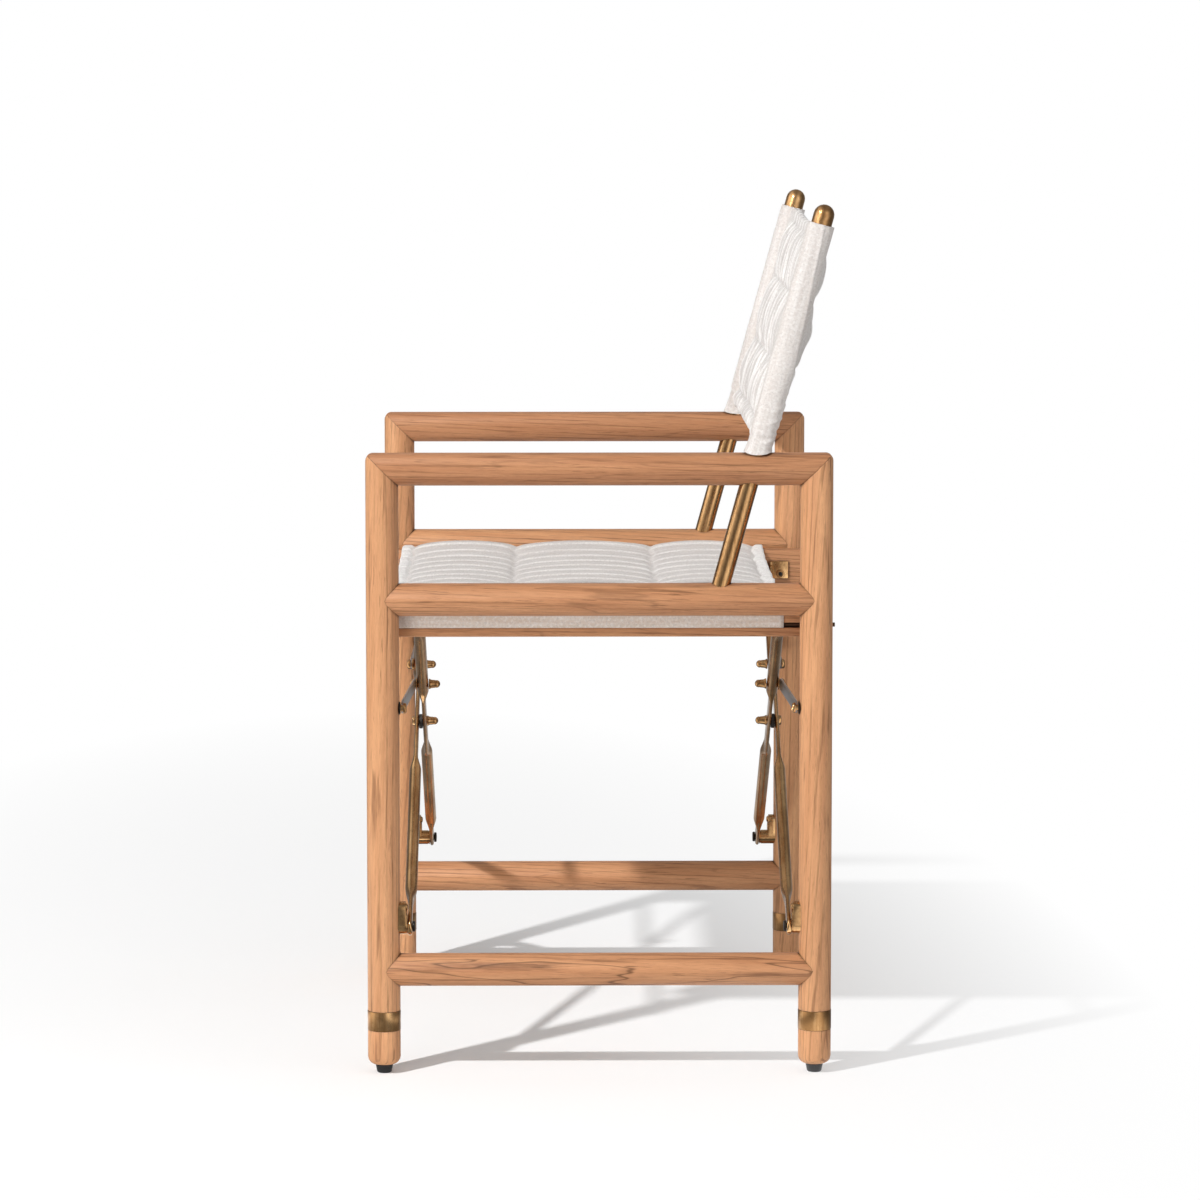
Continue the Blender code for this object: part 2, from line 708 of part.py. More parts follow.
def rail_bracket(name, side, plane):
    """The angle bracket and pin that join the top of a scissor leg to a seat rail.

    side is 1 for leg A's bracket, on the right rail, and -1 for leg B's, on the left one."""
    tab = STRIP_THICKNESS / 2
    flange_face = plane + tab + GAP
    flange_back = flange_face + BRACKET_THICKNESS
    plate_x = RAIL_INNER_X - GAP
    head = plane - tab - GAP
    x, z = leg_point(side, TOP_END)
    profile = [
        (0.0, head - HEAD_HEIGHT),
        (HEAD_RADIUS, head - HEAD_HEIGHT),
        (HEAD_RADIUS, head),
        (PIN_RADIUS, head),
        (PIN_RADIUS, flange_face),
        (TOP_TAB_HALF_WIDTH, flange_face),
        (TOP_TAB_HALF_WIDTH, flange_back),
        (0.0, flange_back),
    ]
    profile = [(r, -d) for r, d in profile]
    obj = turned(name, profile, (abs(x), CENTRE_Y, z), (0, 1, 0), sides=FITTING_SIDES)
    flange = box(
        "flange",
        (abs(x), front(flange_back), min(BRACKET_BOTTOM, z - TOP_TAB_HALF_WIDTH)),
        (plate_x, front(flange_face), max(BRACKET_TOP, z + TOP_TAB_HALF_WIDTH)),
    )
    plate = box(
        "plate",
        (plate_x - BRACKET_THICKNESS, front(flange_face + BRACKET_REACH), BRACKET_BOTTOM),
        (plate_x, front(flange_face), BRACKET_TOP),
    )
    screw_y = front(flange_face + BRACKET_SCREW_OFFSET)
    screw = cylinder(
        "bracket_screw",
        BRACKET_SCREW_RADIUS,
        (plate_x - BRACKET_THICKNESS - HEAD_HEIGHT, screw_y, BRACKET_SCREW_HEIGHT),
        (plate_x - BRACKET_THICKNESS / 2, screw_y, BRACKET_SCREW_HEIGHT),
        sides=FITTING_SIDES,
    )
    for piece in (flange, plate, screw):
        combine(obj, as_cutter(piece), "UNION")
    return obj if side < 0 else moved_right(obj, name)


def moved_right(obj, name):
    copy = baked(obj, name + "_copy", mirror_x())
    as_cutter(obj)
    obj.name = name + "_pattern"
    copy.name = name
    return copy


# Seat and back


def bump(position, edges):
    """0 at each seam and 1 in the middle of each puff."""
    for low, high in zip(edges, edges[1:]):
        if low <= position <= high:
            return math.sin(math.pi * (position - low) / (high - low)) ** 0.55
    return 0.0


def groove(position, half_width, count):
    """1 on the stitch line of a sewn channel and 0 midway between two lines."""
    phase = (position + half_width) / (2 * half_width) * count
    return 1.0 - abs(math.sin(math.pi * phase))


def puff_rows(edges):
    """Positions along a row of puffs: each seam and four between, closer together near the seams."""
    rows = []
    for low, high in zip(edges, edges[1:]):
        rows += [low + (high - low) * t for t in (0.0, 0.13, 0.37, 0.63, 0.87)]
    return rows + [edges[-1]]


def padded_sheet(name, columns, rows, upper, lower):
    """A closed quilt: a grid extruded once, its two faces shaped by upper and lower."""
    bm = bmesh.new()
    across, along = len(columns) - 1, len(rows) - 1
    bmesh.ops.create_grid(bm, x_segments=across, y_segments=along, size=1.0)
    places = {}
    for vert in bm.verts:
        i = round((vert.co.x + 1) / 2 * across)
        j = round((vert.co.y + 1) / 2 * along)
        places[vert] = (i, j)
    copied = bmesh.ops.extrude_face_region(bm, geom=bm.faces[:], use_keep_orig=True)
    twins = [item for item in copied["geom"] if isinstance(item, bmesh.types.BMVert)]
    for vert in twins:
        i = round((vert.co.x + 1) / 2 * across)
        j = round((vert.co.y + 1) / 2 * along)
        vert.co = lower(columns[i], rows[j])
    for vert, (i, j) in places.items():
        vert.co = upper(columns[i], rows[j])
    return finish_mesh(name, bm, "fabric")


def seat_cushion():
    """A quilted sling over both seat rails: three puffs front to back, crossed by sewn channels."""
    base = RAIL_TOP + GAP
    top = base + SEAT_SKIN
    inner_x = RAIL_OUTER_X + GAP
    outer_x = inner_x + SEAT_SKIN
    hem_z = ROD_HEIGHT + ROD_RADIUS / 2
    pad_half = outer_x - SEAT_FOLD
    seams = [SEAT_FRONT + SEAT_HEM, *SEAT_SEAMS, SEAT_REAR - SEAT_HEM]
    middle = [pad_half * (i / SEAT_CHANNELS - 1) for i in range(2 * SEAT_CHANNELS + 1)]
    columns = [(-2, 0.0), (-1, 0.0), *((0, x) for x in middle), (1, 0.0), (2, 0.0)]
    rows = [SEAT_FRONT, *puff_rows(seams), SEAT_REAR]

    def upper(column, y):
        part, x = column
        if part:
            z = hem_z if abs(part) == 2 else top - SEAT_FOLD
            return math.copysign(outer_x, part), y, z
        inside = 1.0 - (x / pad_half) ** 2
        puff = SEAT_PUFF * bump(y, seams) * min(1.0, 0.75 + inside)
        line = CHANNEL_DEPTH * groove(x, pad_half, SEAT_CHANNELS)
        hem = SEAT_HEM_RISE if y in (SEAT_FRONT, SEAT_REAR) else 0.0
        return x, y, top + puff - line + hem - SEAT_SAG * inside

    def lower(column, y):
        part, x = column
        if part:
            return math.copysign(inner_x, part), y, hem_z if abs(part) == 2 else base
        if abs(x) > RAIL_INNER_X - pad_half / SEAT_CHANNELS:
            return x, y, base
        inside = 1.0 - (x / pad_half) ** 2
        free = min(1.0, 3 * (1.0 - abs(x) / RAIL_INNER_X))
        thick = SEAT_PAD + SEAT_PUFF_BELOW * bump(y, seams)
        return x, y, base - free * thick - SEAT_SAG * inside

    return padded_sheet("seat_cushion", columns, rows, upper, lower)


def back_panel():
    """The quilted back: a thick pad behind the line of the posts, with a sleeve over each post."""
    length = (BACK_TOP - BACK_BOTTOM) / math.cos(POST_LEAN)
    seams = [0.0, *BACK_ROWS, length - BACK_HEM]
    half = FRAME_X - POST_RADIUS / 2
    columns = [half * (i / BACK_CHANNELS - 1) for i in range(2 * BACK_CHANNELS + 1)]
    rows = [*puff_rows(seams)[2:], length]

    def fullness(x):
        """0 at the sleeves, 1 where the pad has its full thickness."""
        t = min((half - abs(x)) / BACK_EDGE, 1.0)
        return t * (2.0 - t)

    def upper(x, z):
        flat = BACK_FRONT_BOTTOM + (BACK_FRONT_TOP - BACK_FRONT_BOTTOM) * z / length
        puff = BACK_FRONT_PUFF * bump(z, seams) * fullness(x)
        line = CHANNEL_DEPTH * groove(x, half, BACK_CHANNELS)
        return x, flat - puff + line, z

    def lower(x, z):
        edge = SLEEVE_RADIUS * 0.7
        bulge = BACK_REAR_BULGE * math.sin(math.pi * z / length)
        full = BACK_REAR + bulge + BACK_REAR_PUFF * bump(z, seams)
        thin = 0.45 if z == length else 1.0
        return x, (edge + (full - edge) * fullness(x)) * thin, z

    obj = padded_sheet("back_panel", columns, rows, upper, lower)
    foot = post_point(BACK_BOTTOM) - Vector((FRAME_X, 0, 0))
    obj.matrix_world = Matrix.Translation(foot) @ Matrix.Rotation(-POST_LEAN, 4, "X")
    for side in (-1, 1):
        combine(obj, back_sleeve(side, SLEEVE_RADIUS, BACK_TOP), "UNION")
    for side in (-1, 1):
        combine(obj, back_sleeve(side, CAP_RADIUS + GAP, BACK_TOP + SLEEVE_RADIUS))
        start = Vector((side * FRAME_X, LEG_Y["front"], ARM_HEIGHT))
        end = Vector((side * FRAME_X, LEG_Y["rear"], ARM_HEIGHT))
        combine(obj, as_cutter(cylinder("arm_space", WOOD_RADIUS + GAP, start, end, sides=BAR_SIDES)))
    return obj


def back_sleeve(side, radius, top):
    """A round bar on a post's axis, from inside the arm rail to a given height."""
    start, end = post_point(ARM_HEIGHT), post_point(top)
    start.x, end.x = side * FRAME_X, side * FRAME_X
    return as_cutter(cylinder("sleeve", radius, start, end, sides=2 * FITTING_SIDES))


# Assembly


def make_side_frames():
    corners = {end: corner_cutter(end) for end in LEG_Y}
    bore = post_bore()
    pieces = [frame_leg(end, corners[end]) for end in LEG_Y]
    pieces += [ferrule(end) for end in LEG_Y]
    pieces += [glide(end) for end in LEG_Y]
    pieces += [
        arm_rail(corners, bore),
        rail("left_mid_rail", MID_RAIL_HEIGHT, bore),
        rail("left_stretcher", STRETCHER_HEIGHT),
        back_post(),
        post_cap(),
    ]
    right = [to_the_right(piece) for piece in pieces]
    return pieces, right


def make_frame_fittings():
    """Brackets for the scissor feet and screws for the stay links, on both frames."""
    link_face = LINK_FRAME_PLANE - LINK_THICKNESS / 2
    left = [
        hinge_bracket("front_left_hinge", LEG_A_PLANE, PIVOT_HEIGHT),
        link_screw("front_left_link_screw", link_face),
    ]
    pattern = hinge_bracket("front_right_hinge", LEG_B_PLANE, PIVOT_HEIGHT)
    right = [moved_right(pattern, "front_right_hinge"), to_the_right(left[1])]
    left += [to_the_rear(piece) for piece in list(left)]
    right += [to_the_rear(piece) for piece in list(right)]
    return left, right


def make_scissors():
    """Both scissor pairs, as lists of the pieces on each moving body."""
    leg_a = [
        scissor_leg("front_leg_a", LEG_A_PLANE, 1),
        link_nut("front_right_link_nut", LEG_A_PLANE, 1),
        cross_bolt(),
        cross_spacer(),
    ]
    leg_b = [scissor_leg("front_leg_b", LEG_B_PLANE, -1), link_nut("front_left_link_nut", LEG_B_PLANE, -1)]
    link_left = [stay_link("front_left_link", -1, LEG_B_PLANE)]
    link_right = [stay_link("front_right_link", 1, LEG_A_PLANE)]
    groups = {"leg_a": leg_a, "leg_b": leg_b, "left_link": link_left, "right_link": link_right}
    bodies = {}
    for name, pieces in groups.items():
        bodies[f"front_{name}"] = pieces
        bodies[f"rear_{name}"] = [to_the_rear(piece) for piece in pieces]
    return bodies


def make_seat_rails():
    left = [seat_rail(), seat_rod()]
    right = [to_the_right(piece) for piece in left]
    for name, side, pieces, plane in (("left", -1, left, LEG_B_PLANE), ("right", 1, right, LEG_A_PLANE)):
        bracket = rail_bracket(f"front_{name}_rail_bracket", side, plane)
        pieces += [bracket, to_the_rear(bracket)]
    return left, right


def hang_on_axis(name, place, pieces):
    """Parents the pieces of one moving body to an empty on its joint's axis."""
    empty = bpy.data.objects.new(name, None)
    empty.empty_display_size = 0.03
    empty.location = place
    COLLECTIONS["directors_chair"].objects.link(empty)
    bpy.context.view_layer.update()
    for piece in pieces:
        piece.parent = empty
        piece.matrix_parent_inverse = empty.matrix_world.inverted()


def main():
    clear_scene()
    make_collections()
    make_materials()
    left_frame, right_frame = make_side_frames()
    left_fittings, right_fittings = make_frame_fittings()
    bodies = make_scissors()
    left_rail, right_rail = make_seat_rails()
    left_rail.append(seat_cushion())
    left_frame.append(back_panel())
    hang_on_axis("left_frame", (0, 0, 0), left_frame + left_fittings)
    right_pivot = (-FRAME_X, front(LEG_B_PLANE), PIVOT_HEIGHT)
    hang_on_axis("right_frame", right_pivot, right_frame + right_fittings)
    for end, sign in (("front", 1), ("rear", -1)):
        pivots = {
            "leg_a": (FRAME_X, LEG_A_PLANE, PIVOT_HEIGHT),
            "leg_b": (0.0, LEG_B_PLANE, CROSSING_HEIGHT),
            "left_link": (FRAME_X, LINK_FRAME_PLANE, LINK_FRAME_HEIGHT),
            "right_link": (-FRAME_X, LINK_FRAME_PLANE, LINK_FRAME_HEIGHT),
        }
        for name, (x, plane, z) in pivots.items():
            place = (x, CENTRE_Y - sign * plane, z)
            hang_on_axis(f"{end}_{name}_axis", place, bodies[f"{end}_{name}"])
    for name, side, plane, pieces in (
        ("left", -1, LEG_B_PLANE, left_rail),
        ("right", 1, LEG_A_PLANE, right_rail),
    ):
        x, z = leg_point(side, TOP_END)
        hang_on_axis(f"{name}_seat_rail_axis", (x, front(plane), z), pieces)


if __name__ == "__main__":
    main()
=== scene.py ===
"""A folding director's chair: its fabric, fittings and finishes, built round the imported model."""

import json
import math

import bmesh
import bpy
from mathutils import Matrix, Vector, noise


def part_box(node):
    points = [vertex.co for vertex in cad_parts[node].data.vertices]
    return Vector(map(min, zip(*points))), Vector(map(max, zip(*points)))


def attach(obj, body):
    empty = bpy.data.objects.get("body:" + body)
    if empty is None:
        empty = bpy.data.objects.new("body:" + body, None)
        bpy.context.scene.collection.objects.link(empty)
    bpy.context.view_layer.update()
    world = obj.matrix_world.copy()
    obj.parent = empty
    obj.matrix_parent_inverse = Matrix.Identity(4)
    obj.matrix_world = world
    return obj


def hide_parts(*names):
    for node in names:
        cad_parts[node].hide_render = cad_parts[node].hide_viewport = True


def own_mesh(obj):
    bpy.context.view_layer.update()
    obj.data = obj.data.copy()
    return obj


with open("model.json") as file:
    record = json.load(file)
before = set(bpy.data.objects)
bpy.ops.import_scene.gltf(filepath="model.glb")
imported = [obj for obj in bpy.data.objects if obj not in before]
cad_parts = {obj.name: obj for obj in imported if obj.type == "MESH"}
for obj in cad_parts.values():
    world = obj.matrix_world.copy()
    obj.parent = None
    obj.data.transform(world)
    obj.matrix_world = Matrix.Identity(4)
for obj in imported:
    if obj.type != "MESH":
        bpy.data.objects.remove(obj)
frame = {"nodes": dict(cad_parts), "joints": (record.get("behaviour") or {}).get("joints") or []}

bl_info = {
    "name": "Folding directors chair",
    "version": (1, 0, 0),
    "blender": (4, 5, 0),
    "location": "View3D > Sidebar > Chair",
    "description": "Builds the fabric, fittings and finishes of a folding director's chair",
    "category": "Object",
}

SIDES = {"left": 1, "right": -1}
# The direction along Y that leads from each end to the middle of the chair
ENDS = {"front": 1, "rear": -1}
CORNERS = [(end, inwards, side) for end, inwards in ENDS.items() for side in SIDES]


def middle(node):
    low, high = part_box(node)
    return (low + high) / 2


def joint(name):
    return next(item for item in frame["joints"] if item["name"] == name)


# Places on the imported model, in metres
FRAME_X = middle("left_rear_leg").x
CENTRE_Y = (middle("left_front_leg").y + middle("left_rear_leg").y) / 2
LEG_Y = {end: middle(f"left_{end}_leg").y for end in ENDS}
WOOD_RADIUS = (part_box("left_arm_rail")[1].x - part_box("left_arm_rail")[0].x) / 2
ARM_HEIGHT = middle("left_arm_rail").z
MID_RAIL_HEIGHT = middle("left_mid_rail").z
PIVOT = Vector(joint("fold")["pos_m"])
CROSSING = Vector(joint("scissor_cross")["pos_m"])
TOP_PIVOT = Vector(joint("left_rail_pivot")["pos_m"])
SLOPE = math.atan2(CROSSING.z - PIVOT.z, PIVOT.x)
RAIL_LOW, RAIL_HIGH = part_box("left_seat_rail")
ROD = middle("left_seat_rod")

# The hardware, in metres
LEG_TUBE = 0.00625  # radius of a scissor leg's tube
NUT_SEAT = 0.0006  # from a link nut's face to its leg's tube
LINK_GAP = 0.00225  # from a leg's tube to the middle of its stay link
LINK_DISTANCE = 0.0964  # from the crossing to a stay link's bolt, along the leg
LINK_WIDTH, LINK_THICKNESS = 0.0126, 0.0024
LINK_PLANE = 0.20385  # from the middle of the chair to the stay links' frame ends
TAB = 0.0023  # from the middle of a leg's pressed end to its face
BRACKET_LOW, BRACKET_SCREW, BRACKET_HIGH = 0.4595, 0.4650, 0.4795  # heights
CLEARANCE = 0.0003  # between the wood and the brass or cloth laid on it


# Sizes and colours that a user would change


def colour(name, description, default):
    return bpy.props.FloatVectorProperty(
        name=name, description=description, subtype="COLOR", default=default, min=0.0, max=1.0
    )


def distance(name, description, default, low, high):
    return bpy.props.FloatProperty(
        name=name, description=description, subtype="DISTANCE", default=default, min=low, max=high
    )


def amount(name, description, default, high):
    return bpy.props.FloatProperty(
        name=name, description=description, default=default, min=0.0, max=high
    )


class ChairWood(bpy.types.PropertyGroup):
    light: colour("Light wood", "Colour of the pale early wood", (0.74, 0.395, 0.195))
    warm: colour("Warm wood", "Colour of the streaks along the grain", (0.50, 0.225, 0.102))
    line: colour("Ring lines", "Colour of the lines at the growth rings", (0.20, 0.085, 0.036))
    ring_spacing: distance(
        "Ring spacing", "Distance between two growth rings", 0.0048, 0.001, 0.02
    )
    edge: distance("Eased edge", "Width of the eased edge at the joints", 0.0007, 0.0001, 0.002)


class ChairMetal(bpy.types.PropertyGroup):
    brass: colour("Brass", "Colour of the rubbed, bright brass", (0.71, 0.435, 0.205))
    # The tarnish colour also paints the dark reflections streaked along the brushed brass
    tarnish_and_reflection: colour("Tarnish", "Colour of the aged brass", (0.38, 0.20, 0.08))
    steel: colour("Stay steel", "Colour of the brushed stay links", (0.50, 0.47, 0.46))
    roughness: bpy.props.FloatProperty(
        name="Brass roughness",
        description="How dull the brass is where it is rubbed",
        subtype="FACTOR",
        default=0.10,
        min=0.05,
        max=0.8,
    )


class ChairFabric(bpy.types.PropertyGroup):
    rib: colour("Rib", "Colour of the raised white ribs and of the hems", (0.93, 0.91, 0.89))
    band: colour("Band", "Colour of the flat bands between the ribs", (0.70, 0.65, 0.62))
    cloth: colour("Plain cloth", "Colour of the plain sleeves and skirts", (0.69, 0.63, 0.59))
    pitch: distance("Rib pitch", "Distance from one rib to the next", 0.0455, 0.02, 0.1)
    rib_height: distance(
        "Rib height", "How far a rib stands above the band beside it", 0.0016, 0.0, 0.005
    )
    pressure: amount(
        "Filling pressure", "How hard the filling pushes the cloth out between seams", 4.0, 20.0
    )
    thread: distance(
        "Thread spacing", "Distance between two threads of the weave", 0.0009, 0.0003, 0.003
    )


class ChairStudio(bpy.types.PropertyGroup):
    key_place: bpy.props.FloatVectorProperty(
        name="Key light place",
        description="Where the key light stands",
        subtype="TRANSLATION",
        default=(2.0, -1.76, 2.6),
    )
    key_strength: amount(
        "Key light", "Brightness of the key light on a surface that faces it", 0.76, 10.0
    )
    key_radius: distance(
        "Key light size", "Radius of the key light: how soft its shadows are", 0.07, 0.0, 1.0
    )
    fill: amount("Fill", "Brightness of the light that comes from all round", 0.375, 2.0)
    floor_lift: amount(
        "Floor lift", "How much brighter the floor looks to the camera than it is", 0.035, 1.0
    )
    front: amount(
        "Front light", "Brightness of the broad soft light beside the camera", 0.30, 2.0
    )
    focal_length: bpy.props.FloatProperty(
        name="Focal length",
        description="Focal length of the camera, in millimetres",
        default=139.536,
        min=20.0,
        max=400.0,
    )


GROUPS = {
    "chair_wood": ChairWood,
    "chair_metal": ChairMetal,
    "chair_fabric": ChairFabric,
    "chair_studio": ChairStudio,
}


# Selecting and shaping


def deselect_all():
    if bpy.context.object and bpy.context.object.mode != "OBJECT":
        bpy.ops.object.mode_set(mode="OBJECT")
    bpy.ops.object.select_all(action="DESELECT")


def make_active(piece):
    deselect_all()
    piece.select_set(True)
    bpy.context.view_layer.objects.active = piece


def in_edit_mode(piece, kind="VERT"):
    make_active(piece)
    bpy.ops.object.mode_set(mode="EDIT")
    bpy.ops.mesh.select_mode(type=kind)
    bpy.ops.mesh.select_all(action="DESELECT")


def select_vertices(piece, test):
    """Selects the vertices of the piece in edit mode whose place passes the test."""
    bpy.ops.mesh.select_all(action="DESELECT")
    shape = bmesh.from_edit_mesh(piece.data)
    for vert in shape.verts:
        vert.select = bool(test(vert.co))
    shape.select_flush(True)
    bmesh.update_edit_mesh(piece.data)


def select_faces(piece, test):
    """Selects the faces of the piece in edit mode whose centre and normal pass the test."""
    bpy.ops.mesh.select_all(action="DESELECT")
    shape = bmesh.from_edit_mesh(piece.data)
    for face in shape.faces:
        face.select = bool(test(face.calc_center_median(), face.normal))
    bmesh.update_edit_mesh(piece.data)


def apply_place(piece):
    make_active(piece)
    bpy.ops.object.transform_apply(location=True, rotation=True, scale=True)


def face_outwards(piece):
    in_edit_mode(piece)
    bpy.ops.mesh.select_all(action="SELECT")
    bpy.ops.mesh.normals_make_consistent(inside=False)
    bpy.ops.object.mode_set(mode="OBJECT")


def soften(piece, angle=35.0):
    make_active(piece)
    bpy.ops.object.shade_smooth_by_angle(angle=math.radians(angle))


def add_modifier(piece, kind, **settings):
    modifier = piece.modifiers.new(kind.title(), kind)
    for key, value in settings.items():
        setattr(modifier, key, value)
    return modifier


def apply_modifiers(piece):
    make_active(piece)
    for modifier in list(piece.modifiers):
        bpy.ops.object.modifier_apply(modifier=modifier.name)


def add_bevel(piece, width, segments, angle):
    limits = {"limit_method": "ANGLE", "angle_limit": math.radians(angle)}
    add_modifier(piece, "BEVEL", width=width, segments=segments, **limits)


def bevel_edges(piece, width, segments=2, angle=35.0):
    add_bevel(piece, width, segments, angle)
    apply_modifiers(piece)


def copied(piece, name):
    """A copy with its own mesh, left in place and active."""
    make_active(piece)
    bpy.ops.object.duplicate(linked=False)
    copy = bpy.context.object
    copy.name = copy.data.name = name
    return copy


def moved(piece, matrix):
    piece.matrix_world = matrix @ piece.matrix_world
    apply_place(piece)
    return piece


def along_y(distance):
    return Vector((0, distance, 0))


def removed(piece):
    bpy.data.objects.remove(piece, do_unlink=True)


def piece_of(shape, name):
    """A new piece made from mesh code."""
    mesh = bpy.data.meshes.new(name)
    shape.to_mesh(mesh)
    shape.free()
    piece = bpy.data.objects.new(name, mesh)
    bpy.context.scene.collection.objects.link(piece)
    return piece


def turned(name, rings, sides=48):
    """A piece turned on the Z axis: a disc extruded and resized through each (radius, height)."""
    deselect_all()
    radius, height = rings[0]
    bpy.ops.mesh.primitive_circle_add(
        vertices=sides, radius=radius, fill_type="NGON", location=(0, 0, height)
    )
    piece = bpy.context.object
    apply_place(piece)
    bpy.ops.object.mode_set(mode="EDIT")
    bpy.ops.mesh.select_all(action="SELECT")
    for next_radius, next_height in rings[1:]:
        rise = (0, 0, next_height - height)
        bpy.ops.mesh.extrude_region_move(TRANSFORM_OT_translate={"value": rise})
        scale = next_radius / radius
        bpy.ops.transform.resize(value=(scale, scale, 1), center_override=(0, 0, next_height))
        radius, height = next_radius, next_height
    bpy.ops.mesh.select_all(action="SELECT")
    bpy.ops.mesh.normals_make_consistent(inside=False)
    bpy.ops.object.mode_set(mode="OBJECT")
    piece.name = piece.data.name = name
    return piece


def dome(radius, height, base, steps=6):
    """Rings that close a turned piece with a rounded end."""
    angles = [math.radians(90 * i / steps) for i in range(1, steps)]
    rings = [(radius * math.cos(a), base + height * math.sin(a)) for a in angles]
    return [*rings, (radius * 0.08, base + height)]


def turn_to(axis, place):
    """The matrix that stands a turned piece along an axis at a place."""
    turn = Vector((0, 0, 1)).rotation_difference(Vector(axis)).to_matrix().to_4x4()
    return Matrix.Translation(place) @ turn


def bar(name, first, second, edge):
    """A plain bar between two opposite corners, with eased edges."""
    deselect_all()
    low = Vector([min(pair) for pair in zip(first, second)])
    high = Vector([max(pair) for pair in zip(first, second)])
    bpy.ops.mesh.primitive_cube_add(size=1, location=(low + high) / 2)
    piece = bpy.context.object
    piece.scale = high - low
    apply_place(piece)
    piece.name = piece.data.name = name
    bevel_edges(piece, edge, 3)
    return piece


# Finishes

FINISHES = {}
WAVE = math.pi / 10  # distance between the bands of a wave texture whose scale is 1


class Tree:
    """A short way to add nodes to a material or a group and to link them."""

    def __init__(self, tree):
        self.tree = tree

    def fill(self, node, inputs):
        """Links or sets the inputs of a node, by name or number."""
        for key, value in inputs.items():
            if isinstance(value, bpy.types.NodeSocket):
                self.tree.links.new(value, node.inputs[key])
            else:
                node.inputs[key].default_value = value
        return node

    def node(self, kind, inputs=None, **values):
        made = self.tree.nodes.new(kind)
        for key, value in values.items():
            setattr(made, key, value)
        return self.fill(made, inputs or {})

    def place(self, kind):
        return self.node("ShaderNodeTexCoord").outputs[kind]

    def mapping(self, source, scale=(1, 1, 1), place=(0, 0, 0), turn=(0, 0, 0)):
        inputs = {"Vector": source, "Scale": scale, "Location": place, "Rotation": turn}
        return self.node("ShaderNodeMapping", inputs).outputs["Vector"]

    def noise(self, vector, scale, detail=2.0, roughness=0.5, distortion=0.0):
        inputs = {"Vector": vector, "Scale": scale, "Detail": detail, "Roughness": roughness}
        inputs["Distortion"] = distortion
        return self.node("ShaderNodeTexNoise", inputs).outputs["Fac"]

    def wave(self, vector, scale, distortion, detail, **kind):
        inputs = {"Vector": vector, "Scale": scale, "Distortion": distortion, "Detail": detail}
        return self.node("ShaderNodeTexWave", inputs, **kind).outputs["Fac"]

    def stretched(self, source, scale, detail, roughness, distortion=0.0):
        """Noise with its own scale along each axis."""
        return self.noise(self.mapping(source, scale), 1.0, detail, roughness, distortion)

    def ramp(self, source, *stops):
        """A grey or coloured ramp through (position, value) stops."""
        made = self.node("ShaderNodeValToRGB", {"Fac": source})
        elements = made.color_ramp.elements
        while len(elements) < len(stops):
            elements.new(0.5)
        for element, (position, value) in zip(elements, stops):
            element.position = position
            element.color = (value, value, value, 1) if isinstance(value, float) else (*value, 1)
        return made.outputs["Color"]

    def mix(self, factor, first, second, blend="MIX"):
        made = self.node("ShaderNodeMix", data_type="RGBA", blend_type=blend)
        colours = [(*value, 1) if isinstance(value, tuple) else value for value in (first, second)]
        numbers = [i for i, socket in enumerate(made.inputs) if socket.enabled]
        self.fill(made, dict(zip(numbers, (factor, *colours))))
        return next(socket for socket in made.outputs if socket.enabled)

    def math(self, operation, *values):
        inputs = dict(enumerate(values))
        return self.node("ShaderNodeMath", inputs, operation=operation).outputs[0]

    def times(self, first, second):
        return self.math("MULTIPLY", first, second)

    def plus(self, first, second):
        return self.math("ADD", first, second)

    def minus(self, first, second):
        return self.math("SUBTRACT", first, second)

    def most(self, first, second):
        return self.math("MAXIMUM", first, second)

    def split(self, source):
        """The X, Y and Z of a place."""
        return self.node("ShaderNodeSeparateXYZ", {0: source}).outputs

    def follow(self, source, span, least):
        """A value that follows a pattern, from a least value up."""
        return self.plus(self.times(source, span), least)

    def bumpy(self, shader, height, distance, strength):
        inputs = {"Height": height, "Distance": distance, "Strength": strength}
        bump = self.node("ShaderNodeBump", inputs)
        self.fill(shader, {"Normal": bump.outputs["Normal"]})


def new_finish(name):
    """A material with its Principled shader, and the tree it is drawn in."""
    material = bpy.data.materials.new(name)
    material.use_nodes = True
    FINISHES[name] = material
    tree = Tree(material.node_tree)
    shader = material.node_tree.nodes["Principled BSDF"]
    return tree, shader, material


def dimmed(colour, share):
    """A colour, darkened to a share of its brightness."""
    return tuple(share * c for c in colour)


def new_group(name, inputs, outputs):
    group = bpy.data.node_groups.new(name, "ShaderNodeTree")
    for kind, sockets in (("INPUT", inputs), ("OUTPUT", outputs)):
        for label, socket_type in sockets.items():
            group.interface.new_socket(name=label, in_out=kind, socket_type=socket_type)
    tree = Tree(group)
    return tree, tree.node("NodeGroupInput").outputs, tree.node("NodeGroupOutput")


